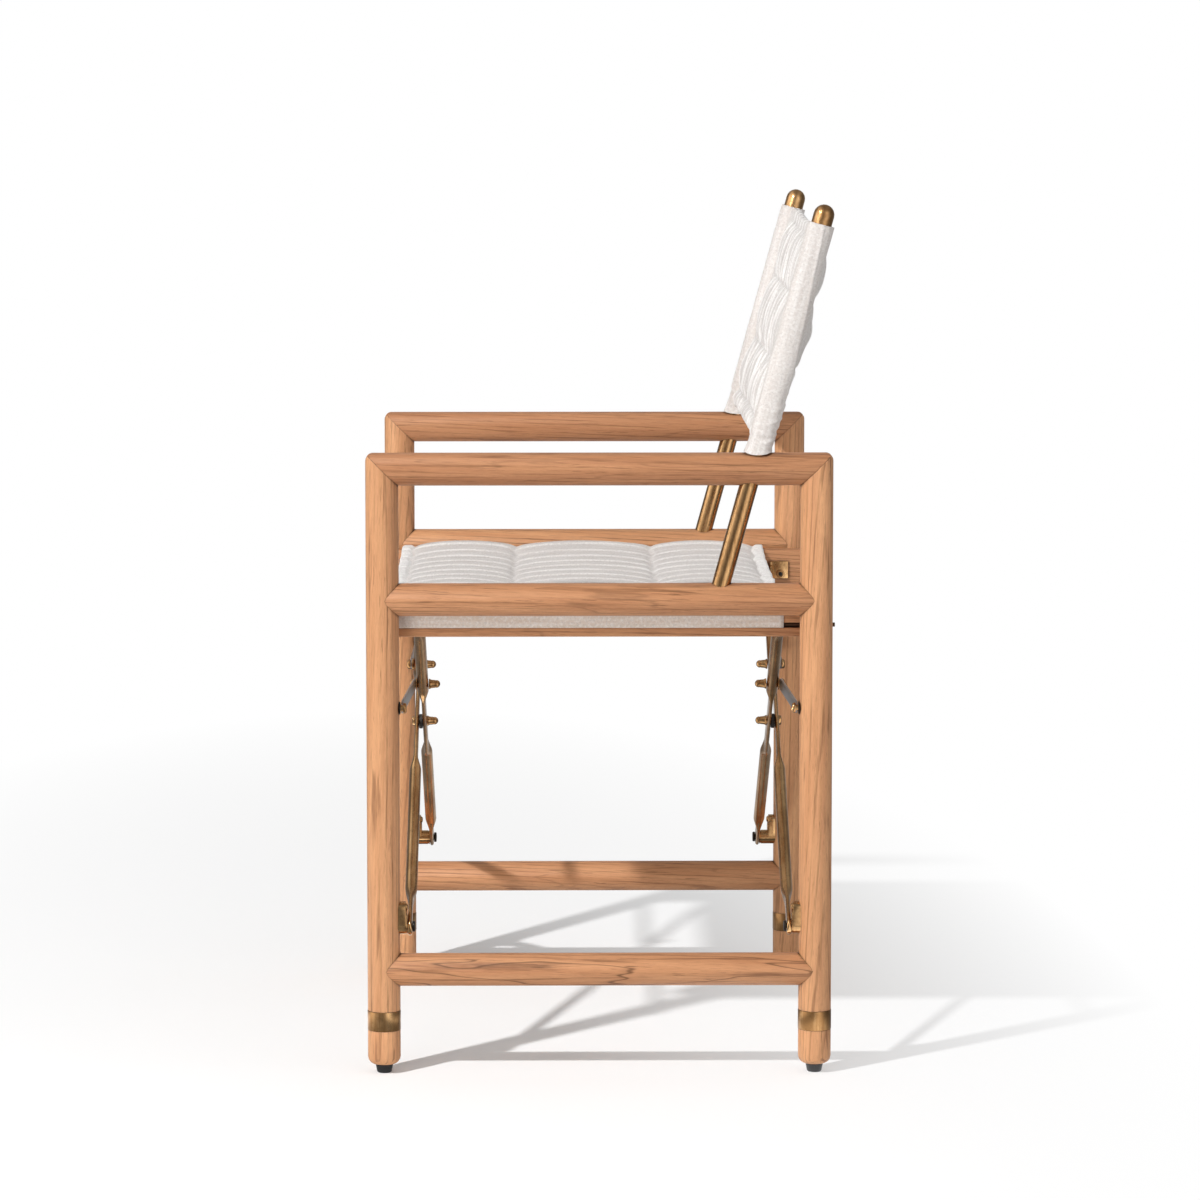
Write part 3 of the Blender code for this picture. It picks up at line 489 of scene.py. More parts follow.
def teak_figure():
    """The figure of teak with the grain along Z: rings, streaks, pores, dark veins, and painted
    shade at the joints and where other parts touch.
    """
    wood = bpy.context.scene.chair_wood
    vector, value, colour = "NodeSocketVector", "NodeSocketFloat", "NodeSocketColor"
    tree, given, end = new_group(
        "teak_figure",
        {"Vector": vector, "Vein": value, "Shade": value},
        {"Colour": colour, "Height": value, "Roughness": value},
    )
    place = given["Vector"]

    def layer(across, along, detail, roughness, low, high):
        marks = tree.stretched(place, (across, across, along), detail, roughness)
        return tree.ramp(marks, (low, 0.0), (high, 1.0))

    slow = tree.mapping(place, (1, 1, 0.055))
    scale = WAVE / wood.ring_spacing
    rings = tree.wave(slow, scale, 6.0, 4.0, wave_type="RINGS", rings_direction="Z")
    lines = tree.ramp(rings, (0.0, 0.0), (0.80, 0.0), (0.92, 0.9), (1.0, 1.0))
    lines = tree.times(lines, layer(160, 12, 3.0, 0.65, 0.40, 0.66))
    checks = layer(520, 19, 3.0, 0.7, 0.63, 0.69)
    streaks = layer(850, 13, 4.0, 0.65, 0.34, 0.68)
    fibres = layer(2400, 70, 2.0, 0.6, 0.35, 0.70)
    tone = layer(95, 4.5, 4.0, 0.6, 0.32, 0.70)
    pores = layer(1500, 60, 2.0, 0.6, 0.60, 0.68)
    vein = tree.ramp(
        tree.stretched(place, (46, 46, 4.2), 2.0, 0.45, 0.2),
        *((0.0, 0.0), (0.470, 0.0), (0.488, 0.25), (0.495, 0.9), (0.502, 0.9), (0.509, 0.0)),
    )
    base = tuple(wood.light)
    for marks, share, tint in (
        (tone, 0.75, tuple(wood.warm)),
        (streaks, 0.40, tuple(wood.warm)),
        (fibres, 0.24, tuple(wood.line)),
        (lines, 0.74, tuple(wood.line)),
        (checks, 0.70, dimmed(wood.line, 0.7)),
        (pores, 0.34, tuple(wood.line)),
        (vein, given["Vein"], dimmed(wood.line, 0.55)),
    ):
        base = tree.mix(tree.times(marks, share), base, tint)
    shaded = tree.mix(1.0, base, (0.78, 0.71, 0.70), "MULTIPLY")
    base = tree.mix(given["Shade"], base, shaded)
    # Painted shade: the wood darkens where another surface lies within 3 mm, which draws the joint
    # lines and the shade where parts touch
    joints = tree.node("ShaderNodeAmbientOcclusion", {"Distance": 0.0030}, samples=6)
    close = tree.ramp(joints.outputs["AO"], (0.45, 0.95), (0.93, 0.0))
    base = tree.mix(close, base, dimmed(wood.line, 0.30))
    height = tree.minus(tree.minus(streaks, tree.times(pores, 1.4)), lines)
    roughness = tree.follow(streaks, 0.10, 0.46)
    tree.fill(end, {"Colour": base, "Height": height, "Roughness": roughness})
    return tree.tree


def teak(name, along, place, lean, vein, shade):
    """One bar's own piece of teak: the grain runs along the bar and each bar is cut elsewhere."""
    tree, shader, material = new_finish(name)
    group = bpy.data.node_groups.get("teak_figure") or teak_figure()
    turn = (math.radians(90), 0, 0) if along == "Y" else (0, 0, 0)
    straight = tree.mapping(tree.place("Object"), turn=turn)
    cut = tree.mapping(straight, place=place, turn=(lean, -0.6 * lean, 0.0))
    inputs = {"Vector": cut, "Vein": vein, "Shade": shade}
    figure = tree.node("ShaderNodeGroup", inputs, node_tree=group).outputs
    inputs = {"Base Color": figure["Colour"], "Roughness": figure["Roughness"]}
    tree.fill(shader, {**inputs, "Specular IOR Level": 0.35})
    tree.bumpy(shader, figure["Height"], 0.00012, 0.6)
    return material


def brass(name, brush, bright=0.0, lean=0.0, soft=0.0):
    """Aged brass, rubbed bright in patches, with fine lines along the brushed direction; its dark
    tarnished streaks are partly painted reflection of the dark wood around it.
    """
    metal = bpy.context.scene.chair_metal
    tree, shader, material = new_finish(name)
    source = tree.place("Object")
    if lean:
        source = tree.mapping(source, turn=(0, lean, 0))
    cloud = tree.stretched(source, tuple(18 + 0.05 * b for b in brush), 4.0, 0.6)
    fine = tree.stretched(source, brush, 3.0, 0.6)
    specks = tree.ramp(tree.noise(source, 900.0, 2.0), (0.60, 0.0), (0.76, 1.0))
    spots = tree.ramp(tree.noise(source, 160.0, 4.0, 0.7), (0.50, 0.0), (0.64, 1.0))
    # Bright rubbed patches against dark streaks along the brushing: partly real tarnish, partly
    # painted dark reflection
    wear_and_reflection = tree.plus(tree.times(cloud, 0.65), tree.times(fine, 0.35))
    mask = tree.ramp(wear_and_reflection, (max(0.40 - bright, 0.0), 0.0), (0.66 - bright, 1.0))
    base = tree.mix(mask, tuple(metal.tarnish_and_reflection), tuple(metal.brass))
    for marks, share, dim in ((spots, 0.30, 0.6), (specks, 0.35, 0.4)):
        base = tree.mix(tree.times(marks, share), base, dimmed(metal.tarnish_and_reflection, dim))
    rough = tree.minus(metal.roughness + soft + 0.11, tree.times(mask, 0.10))
    rough = tree.plus(rough, tree.times(fine, 0.05))
    tree.fill(shader, {"Base Color": base, "Roughness": rough, "Metallic": 1.0})
    tree.bumpy(shader, fine, 0.00005, 0.25)
    return material


def brushed_steel(name):
    metal = bpy.context.scene.chair_metal
    tree, shader, material = new_finish(name)
    source = tree.place("Object")
    lines = tree.stretched(source, (140, 900, 900), 4.0, 0.7)
    shade = tree.ramp(lines, (0.25, dimmed(metal.steel, 0.62)), (0.75, tuple(metal.steel)))
    base = tree.mix(tree.times(tree.noise(source, 60.0, 3.0), 0.3), shade, (0.30, 0.26, 0.23))
    rough = tree.follow(lines, 0.2, 0.28)
    tree.fill(shader, {"Base Color": base, "Roughness": rough, "Metallic": 1.0})
    tree.bumpy(shader, lines, 0.00004, 0.35)
    return material


def dark_metal(name, colour, roughness):
    """Blackened washers and spacers, bronzed rods, and the black painted shade in screw sockets,
    with a faint mottle.
    """
    tree, shader, material = new_finish(name)
    mottle = tree.noise(tree.place("Object"), 260.0, 4.0, 0.6)
    base = tree.ramp(mottle, (0.3, dimmed(colour, 0.6)), (0.7, colour))
    rough = tree.follow(mottle, 0.2, roughness - 0.1)
    tree.fill(shader, {"Base Color": base, "Roughness": rough, "Metallic": 0.6})
    tree.bumpy(shader, mottle, 0.00005, 0.3)
    return material


def rubber(name):
    tree, shader, material = new_finish(name)
    grain = tree.noise(tree.place("Object"), 700.0, 3.0)
    base = tree.ramp(grain, (0.3, (0.010, 0.010, 0.011)), (0.7, (0.026, 0.025, 0.025)))
    tree.fill(shader, {"Base Color": base, "Roughness": tree.follow(grain, 0.2, 0.45)})
    tree.bumpy(shader, grain, 0.0001, 0.4)
    return material


def woven(name, kind):
    """Heavy woven cloth on the piece's own UV map, in metres.

    striped is the back, seat has fainter stripes, hem is ribbed, lining is the plain cloth with
    painted warm bounce light from the wood, plain is bare.
    """
    cloth = bpy.context.scene.chair_fabric
    tree, shader, material = new_finish(name)
    place = tree.node("ShaderNodeUVMap", uv_map="weave").outputs["UV"]

    def cords(spacing, distortion, direction="X"):
        return tree.wave(place, WAVE / spacing, distortion, 1.0, bands_direction=direction)

    threads = tree.most(cords(cloth.thread, 0.8), cords(cloth.thread, 0.8, "Y"))
    slub = tree.stretched(place, (900, 60, 1), 4.0, 0.7)
    fleck = tree.stretched(place, (300, 300, 1), 3.0, 0.6)
    long = tree.stretched(place, (150, 9, 1), 4.0, 0.65)
    knots = tree.stretched(place, (430, 430, 1), 2.0, 0.6)
    shade = tuple(cloth.rib) if kind == "hem" else tuple(cloth.cloth)
    # Painted warm bounce light: the plain cloth is tinted towards the colour the teak throws onto
    # the skirts under the seat
    if kind == "lining":
        shade = tuple(c * f for c, f in zip(cloth.cloth, (1.0, 0.91, 0.80)))
    if kind in ("striped", "seat"):
        across = tree.split(place)["X"]
        turn = tree.math("FRACT", tree.math("DIVIDE", across, cloth.pitch))
        stripe = tree.ramp(turn, (0.0, 1.0), (0.05, 1.0), (0.085, 0.0), (0.915, 0.0), (0.95, 1.0))
        if kind == "seat":
            uneven = tree.stretched(place, (36, 12, 1), 2.0, 0.5)
            stripe = tree.times(stripe, tree.ramp(uneven, (0.36, 0.12), (0.64, 0.72)))
        shade = tree.mix(stripe, tuple(cloth.band), tuple(cloth.rib))
    for marks, low, high, tint in (
        (slub, (0.35, 0.0), (0.75, 0.34), dimmed(cloth.band, 0.80)),
        (long, (0.42, 0.0), (0.66, 0.42), tuple(cloth.rib)),
        (fleck, (0.46, 0.0), (0.66, 0.45), tuple(cloth.rib)),
        (knots, (0.34, 0.42), (0.47, 0.0), dimmed(cloth.band, 0.72)),
        (threads, (0.1, 0.22), (0.8, 0.0), (0.42, 0.38, 0.35)),
    ):
        shade = tree.mix(tree.ramp(marks, low, high), shade, tint)
    sheen = {"Sheen Weight": 0.18, "Sheen Roughness": 0.5, "Specular IOR Level": 0.25}
    tree.fill(shader, {"Base Color": shade, "Roughness": 0.92, **sheen})
    height = tree.plus(threads, tree.times(slub, 0.8))
    if kind == "hem":
        height = tree.plus(height, tree.times(cords(0.0060, 0.6), 2.0))
    tree.bumpy(shader, height, 0.00022, 0.75)
    return material


# The maker of each finish, and what it is given besides its name
MAKERS = {
    "brass_upright": (brass, (700, 700, 30)),
    "brass_turned": (brass, (120, 120, 120), 0.04),
    "brass_cap": (brass, (120, 120, 120), 0.0, 0.0, 0.13),
    "brass_ferrule": (brass, (700, 700, 30), -0.06, 0.0, 0.10),
    "brass_bright": (brass, (300, 300, 300), 0.02),
    "brass_leg_a": (brass, (26, 500, 500), 0.02, math.pi - SLOPE),
    "brass_leg_b": (brass, (26, 500, 500), 0.02, SLOPE),
    "stay_steel": (brushed_steel,),
    "black_washer": (dark_metal, (0.028, 0.022, 0.017), 0.42),
    "bronze_rod": (dark_metal, (0.11, 0.055, 0.03), 0.5),
    "glide_rubber": (rubber,),
    "quilt_cloth": (woven, "striped"),
    "seat_cloth": (woven, "seat"),
    "hem_cloth": (woven, "hem"),
    "sleeve_cloth": (woven, "plain"),
    "skirt_cloth": (woven, "lining"),
}


def finish(name):
    """The material of this name, made when it is first asked for."""
    maker, *values = MAKERS[name]
    return FINISHES.get(name) or maker(name, *values)


def give(piece, name):
    piece.data.materials.clear()
    piece.data.materials.append(finish(name))
    return piece


def finish_node(node, material, edge=0.0):
    """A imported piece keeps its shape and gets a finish, smooth sides and eased edges."""
    piece = frame["nodes"][node]
    piece.data.materials.clear()
    piece.data.materials.append(material)
    for polygon in piece.data.polygons:
        polygon.use_smooth = True
    add_modifier(piece, "WELD", merge_threshold=0.00002)
    if edge:
        add_bevel(piece, edge, 2, 40)
    add_modifier(piece, "EDGE_SPLIT", split_angle=math.radians(38))


# Pieces


class CHAIR_OT_wood(bpy.types.Operator):
    """Teak on every bar of the side frames and on the seat rails"""

    bl_idname = "chair.wood"
    bl_label = "Teak"

    def execute(self, context):
        edge = context.scene.chair_wood.edge
        bars = [(f"{side}_{end}_leg", "Z", 0.0, 0.0) for side in SIDES for end in ENDS]
        bars += [(f"{side}_arm_rail", "Y", 0.25, 0.85) for side in SIDES]
        bars += [("left_mid_rail", "Y", 0.35, 0.6), ("right_mid_rail", "Y", 0.1, 0.1)]
        bars += [("left_stretcher", "Y", 0.8, 0.6), ("right_stretcher", "Y", 0.3, 0.5)]
        bars += [(f"{side}_seat_rail", "Y", 0.3, 0.6) for side in SIDES]
        for number, (node, along, vein, shade) in enumerate(bars):
            place = (0.071 + 0.013 * number, 0.043 - 0.009 * number, 0.37 * number)
            lean = math.radians(1.6 + 0.5 * (number % 4))
            finish_node(node, teak(f"teak_{node}", along, place, lean, vein, shade), edge)
        return {"FINISHED"}


class CHAIR_OT_brass(bpy.types.Operator):
    """Brass on the posts, caps and ferrules, bronze on the rods, rubber on the glides"""

    bl_idname = "chair.brass"
    bl_label = "Posts, caps, ferrules and glides"

    def execute(self, context):
        for side in SIDES:
            finish_node(f"{side}_back_post", finish("brass_upright"))
            finish_node(f"{side}_post_cap", finish("brass_cap"))
            finish_node(f"{side}_seat_rod", finish("bronze_rod"))
            for end in ENDS:
                finish_node(f"{side}_{end}_ferrule", finish("brass_ferrule"), 0.0003)
                finish_node(f"{side}_{end}_glide", finish("glide_rubber"))
        return {"FINISHED"}


def pressed_leg(foot_end, top_end):
    """A brass tube along X through the crossing, pressed flat at both ends and in the middle."""
    tube, flat, wide, tab = LEG_TUBE, 0.0021, 0.0095, 0.0080
    # How far each flat part reaches from its bolt, and the run in which the tube grows round
    crossing, foot, top = (0.064, 0.019), (0.034, 0.024), (0.024, 0.020)
    low, high = foot_end - wide, top_end + tab
    deselect_all()
    bpy.ops.mesh.primitive_cylinder_add(
        vertices=40,
        radius=tube,
        depth=top_end - foot_end + wide + tab,
        end_fill_type="NGON",
        location=((foot_end - wide + top_end + tab) / 2, 0, 0),
        rotation=(0, math.pi / 2, 0),
    )
    piece = bpy.context.object
    apply_place(piece)

    def pressed(s):
        spans = (
            (abs(s) - crossing[0], crossing[1]),
            (s - foot_end - foot[0], foot[1]),
            (top_end - s - top[0], top[1]),
        )
        share = max(1.0 - min(max(past / slope, 0.0), 1.0) for past, slope in spans)
        return share * share * (3 - 2 * share)

    stations = [foot_end - wide * math.sin(math.radians(a)) for a in (0, 20, 40, 60, 75)]
    stations += [top_end + tab * math.sin(math.radians(a)) for a in (0, 20, 40, 60, 75)]
    for start, slope in ((foot_end + foot[0], foot[1]), (top_end - top[0], -top[1])):
        stations += [start + slope * i / 8 for i in range(9)]
    for side in (-1, 1):
        stations += [side * (crossing[0] + crossing[1] * i / 8) for i in range(9)]
    in_edit_mode(piece)
    for s in sorted(stations):
        bpy.ops.mesh.select_all(action="SELECT")
        bpy.ops.mesh.bisect(plane_co=(s, 0, 0), plane_no=(1, 0, 0))
    for s in sorted([*stations, low, high]):
        press = pressed(s)
        strip = tab if s > top_end / 2 else wide
        beyond = max(foot_end - s, s - top_end, 0.0)
        width = math.sqrt(max(strip**2 - beyond**2, (0.18 * strip) ** 2))
        across = (tube + (strip - tube) * press) * width / strip
        through = tube + (flat * 1.55 - tube) * press
        select_vertices(piece, lambda co, s=s: abs(co.x - s) < 1e-5)
        ratio = (1, through / tube, across / tube)
        bpy.ops.transform.resize(value=ratio, center_override=(s, 0, 0))
        limit = tube + (flat - tube) * press
        for side in (-1, 1):
            select_vertices(
                piece,
                lambda co, s=s, side=side: abs(co.x - s) < 1e-5 and side * co.y > limit + 1e-6,
            )
            centre = (s, side * limit, 0)
            bpy.ops.transform.resize(value=(1, 0, 1), center_override=centre)
    bpy.ops.object.mode_set(mode="OBJECT")
    return piece


class CHAIR_OT_scissor_legs(bpy.types.Operator):
    """The four scissor legs, pressed from brass tube"""

    bl_idname = "chair.scissor_legs"
    bl_label = "Scissor legs"

    def execute(self, context):
        foot_end = -PIVOT.x / math.cos(SLOPE)
        top_end = TOP_PIVOT.x / math.cos(SLOPE)
        pattern = pressed_leg(foot_end, top_end)
        for end in ENDS:
            for letter, side in (("a", 1), ("b", -1)):
                name = f"{end}_leg_{letter}"
                plane = middle(name).y
                turn = -(math.pi - SLOPE) if side > 0 else -SLOPE
                leg = copied(pattern, f"pressed_{name}")
                place = Matrix.Translation((0, plane, CROSSING.z))
                moved(leg, place @ Matrix.Rotation(turn, 4, "Y"))
                face_outwards(leg)
                soften(leg, 30)
                give(leg, "brass_leg_a" if side > 0 else "brass_leg_b")
                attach(leg, f"scissor_{letter}")
                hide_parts(name)
        removed(pattern)
        return {"FINISHED"}


def face_of(node, side):
    """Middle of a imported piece's box, moved to its lowest (-1) or highest (1) Y."""
    low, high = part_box(node)
    place = (low + high) / 2
    place.y = low.y if side < 0 else high.y
    return place


def placed(pattern, name, place, inwards):
    """A copy of a fitting made on Z, stood along Y at a place. inwards is 1 for +Y, -1 for -Y."""
    piece = copied(pattern, name)
    return moved(piece, turn_to((0, inwards, 0), place))


def finished(piece, material, slot, body, *nodes, angle=35):
    soften(piece, angle)
    give(piece, material)
    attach(piece, body)
    if nodes:
        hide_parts(*nodes)
    return piece


def bevel_ends(piece, radius):
    """Rounds the two ends of a flat bar that lies along X, about the Y direction."""
    in_edit_mode(piece, "EDGE")
    shape = bmesh.from_edit_mesh(piece.data)
    for edge in shape.edges:
        a, b = (vert.co for vert in edge.verts)
        edge.select = abs(a.x - b.x) < 1e-6 and abs(a.z - b.z) < 1e-6
    bmesh.update_edit_mesh(piece.data)
    bpy.ops.mesh.bevel(offset=radius, segments=10, affect="EDGES")
    bpy.ops.object.mode_set(mode="OBJECT")


def flat_bar(name, size, end_radius, edge, segments, matrix):
    """A flat bar with rounded ends, made along X and moved by a matrix."""
    deselect_all()
    bpy.ops.mesh.primitive_cube_add(size=1)
    piece = bpy.context.object
    piece.scale = size
    apply_place(piece)
    bevel_ends(piece, end_radius)
    bevel_edges(piece, edge, segments, 50)
    moved(piece, matrix)
    piece.name = piece.data.name = name
    return piece


def fitting(name, rings, axis, place, material, body, *nodes, sides=48):
    """A turned fitting, stood along an axis at a place."""
    piece = moved(turned(name, rings, sides), turn_to(axis, place))
    return finished(piece, material, "brass", body, *nodes)


def sunk(piece, depth, top):
    """Sinks a socket into the flat end of a turned piece, at height top, facing up Z."""
    in_edit_mode(piece, "FACE")
    select_faces(piece, lambda c, n: abs(c.z - top) < 1e-5 and n.z > 0.9 and c.xy.length < 1e-4)
    bpy.ops.mesh.inset(thickness=0.0004)
    bpy.ops.mesh.extrude_region_move(TRANSFORM_OT_translate={"value": (0, 0, -depth)})
    bpy.ops.transform.resize(value=(0.9, 0.9, 1), center_override=(0, 0, top - depth))
    bpy.ops.object.mode_set(mode="OBJECT")


def acorn_nut():
    rings = [(0.0051, 0.0), (0.0056, 0.0004), (0.0056, 0.0014), (0.0049, 0.0019), (0.0045, 0.0036)]
    rings += [(0.0042, 0.0072), (0.0039, 0.0075), (0.0039, 0.0079), (0.0042, 0.0082)]
    return turned("acorn_nut", [*rings, *dome(0.0042, 0.0041, 0.0082, 8)])


def screw_head():
    """A low domed screw head on Z with a sunk socket."""
    rings = [(0.0030, -0.0006), (0.0053, -0.0006), (0.0055, 0.0006), (0.0052, 0.0017)]
    head = turned("screw_head", [*rings, (0.0042, 0.0027)])
    sunk(head, 0.0012, 0.0027)
    return head


class CHAIR_OT_nuts(bpy.types.Operator):
    """The acorn nuts, the crossing bolts and the black spacers of the scissors"""

    bl_idname = "chair.nuts"
    bl_label = "Nuts, bolts and spacers"

    def execute(self, context):
        nut = acorn_nut()
        for end, inwards in ENDS.items():
            for side, body in (("left", "scissor_b"), ("right", "scissor_a")):
                node = f"{end}_{side}_link_nut"
                piece = placed(nut, f"{node}_acorn", face_of(node, -inwards), inwards)
                finished(piece, "brass_bright", "brass", body, node)
            self.crossing(end, inwards, nut)
        removed(nut)
        return {"FINISHED"}

    def crossing(self, end, inwards, nut):
        node = f"{end}_cross_bolt"
        outer, inner = face_of(node, -inwards), face_of(node, inwards)
        length = abs(inner.y - outer.y)
        rings = [(0.0042, 0.0), (0.0052, 0.0006), (0.0055, 0.0016), (0.0055, 0.0030)]
        rings += [(0.0030, 0.0030), (0.0030, length - 0.010)]
        across = (0, inwards, 0)
        fitting(f"{node}_shaft", rings, across, outer, "brass_bright", "scissor_a", node)
        piece = placed(nut, f"{node}_acorn", inner - along_y(inwards * 0.0125), inwards)
        finished(piece, "brass_bright", "brass", "scissor_a")
        self.spacer(end, inwards)

    def spacer(self, end, inwards):
        node = f"{end}_cross_spacer"
        low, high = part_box(node)
        depth = high.y - low.y
        rings = [(0.0066, 0.0), (0.0073, 0.0005), (0.0073, depth - 0.0005), (0.0066, depth)]
        piece = turned(f"{node}_drop", rings)
        in_edit_mode(piece)
        for drop, width in ((0.0035, 0.82), (0.0058, 0.62)):
            select_vertices(piece, lambda co, d=drop: co.y < -d)
            bpy.ops.transform.resize(value=(width, 1.22, 1), center_override=(0, -drop, depth / 2))
        bpy.ops.object.mode_set(mode="OBJECT")
        place = face_of(node, -inwards)
        if inwards > 0:
            moved(piece, Matrix.Rotation(math.pi, 4, "Z"))
        moved(piece, turn_to((0, inwards, 0), place))
        finished(piece, "glide_rubber", "rubber", "scissor_a", node)


class CHAIR_OT_stay_links(bpy.types.Operator):
    """The flat steel stay links, with their screws, washers and bolt heads"""

    bl_idname = "chair.stay_links"
    bl_label = "Stay links and their screws"

    def execute(self, context):
        head = screw_head()
        washer = turned(
            "washer", [(0.0060, 0.0), (0.0068, 0.0003), (0.0068, 0.0011), (0.0060, 0.0014)]
        )
        for corner in CORNERS:
            self.link(*corner, head, washer)
            self.screw(*corner, head, washer)
        removed(head)
        removed(washer)
        return {"FINISHED"}

    def ends(self, end, inwards, side):
        """The middles of the link's frame end and leg end."""
        out = SIDES[side]
        frame_x = out * FRAME_X
        leg_x = out * LINK_DISTANCE * math.cos(SLOPE)
        leg_z = CROSSING.z + LINK_DISTANCE * math.sin(SLOPE)
        screw = middle(f"{end}_{side}_link_screw")
        nut = face_of(f"{end}_{side}_link_nut", -inwards)
        leg_y = nut.y - inwards * (NUT_SEAT + 2 * LEG_TUBE + LINK_GAP)
        frame_y = CENTRE_Y - inwards * LINK_PLANE
        return Vector((frame_x, frame_y, screw.z)), Vector((leg_x, leg_y, leg_z))

    def link(self, end, inwards, side, head, washer):
        frame_end, leg_end = self.ends(end, inwards, side)
        along = leg_end - frame_end
        node = f"{end}_{side}_link"
        direction = along.normalized()
        across = Vector((0, 0, 1)).cross(direction).normalized()
        rows = (direction, across, direction.cross(across))
        turn = Matrix(rows).transposed().to_4x4()
        matrix = Matrix.Translation((frame_end + leg_end) / 2) @ turn
        size = (along.length, LINK_THICKNESS, LINK_WIDTH)
        piece = flat_bar(f"{node}_bar", size, 0.0062, 0.0004, 2, matrix)
        finished(piece, "stay_steel", "steel", f"{side}_links", node)
        bolt = placed(head, f"{node}_bolt", leg_end - along_y(inwards * 0.0014), -inwards)
        finished(bolt, "brass_bright", "brass", f"{side}_links")
        ring = placed(washer, f"{node}_washer", leg_end + along_y(inwards * 0.0013), inwards)
        finished(ring, "brass_turned", "brass", f"{side}_links")

    def screw(self, end, inwards, side, head, washer):
        frame_end = self.ends(end, inwards, side)[0]
        node, body = f"{end}_{side}_link_screw", f"{side}_frame"
        ring = placed(washer, f"{node}_washer", frame_end - along_y(inwards * 0.0030), inwards)
        finished(ring, "black_washer", "brass", body)
        cap = placed(head, f"{node}_head", frame_end + along_y(inwards * 0.0020), inwards)
        finished(cap, "brass_bright", "brass", body, node)
        rings, place = [(0.0032, 0.0), (0.0032, 0.012)], frame_end - along_y(inwards * 0.0105)
        fitting(f"{node}_shank", rings, (0, inwards, 0), place, "brass_turned", body, sides=24)


class CHAIR_OT_hinges(bpy.types.Operator):
    """The brass hinge brackets that carry the feet of the scissor legs"""

    bl_idname = "chair.hinges"
    bl_label = "Hinge brackets"

    def execute(self, context):
        for corner in CORNERS:
            self.bracket(*corner)
        return {"FINISHED"}

    def bracket(self, end, inwards, side):
        node, body = f"{end}_{side}_hinge", f"{side}_frame"
        letter = "a" if side == "left" else "b"
        leg_face = LEG_Y[end] + inwards * (WOOD_RADIUS + CLEARANCE)
        tab = abs(middle(f"{end}_leg_{letter}").y - leg_face) - TAB
        start = Vector((SIDES[side] * PIVOT.x, leg_face - inwards * 0.006, PIVOT.z))
        length = tab + 0.006
        rings = [(0.0060, 0.0), (0.0080, 0.0004), (0.0080, length - 0.0022)]
        rings += [(0.0074, length - 0.0019), (0.0074, length - 0.0014), (0.0080, length - 0.0011)]
        rings += [(0.0079, length - 0.0003), (0.0060, length)]
        across = (0, inwards, 0)
        fitting(f"{node}_barrel", rings, across, start, "brass_turned", body, node)
        self.straps(node, body, start.x, leg_face, inwards)
        rings = [(0.0030, 0.0), (0.0030, 0.0052), (0.0052, 0.0052), (0.0056, 0.0058)]
        rings += [(0.0056, 0.0072), (0.0050, 0.0080), (0.0020, 0.0082)]
        place = start + along_y(inwards * (length - 0.0004))
        fitting(f"{node}_pin", rings, across, place, "black_washer", body)

    def straps(self, node, body, x, leg_face, inwards):
        into_leg, below_pivot = 0.004, 0.006
        for name, face, rise, half in (
            ("upper", 0.0057, 0.0260, 0.0079),
            ("lower", 0.0068, 0.0170, 0.0076),
        ):
            depth, height = into_leg + face, rise + below_pivot
            y = leg_face - inwards * into_leg + inwards * depth / 2
            place = (x, y, PIVOT.z - below_pivot + height / 2)
            matrix = Matrix.Translation(place) @ Matrix.Rotation(-math.pi / 2, 4, "Y")
            size = (height, depth, 2 * half)
            piece = flat_bar(f"{node}_{name}_strap", size, half * 0.98, 0.0006, 3, matrix)
            finished(piece, "brass_turned", "brass", body)
        rings = [(0.0036, 0.0), (0.0037, 0.0008), (0.0033, 0.0016), (0.0022, 0.0022)]
        rings += [(0.0010, 0.0024)]
        place = (x, leg_face + inwards * 0.0055, PIVOT.z + 0.0205)
        fitting(f"{node}_screw", rings, (0, inwards, 0), place, "brass_bright", body)


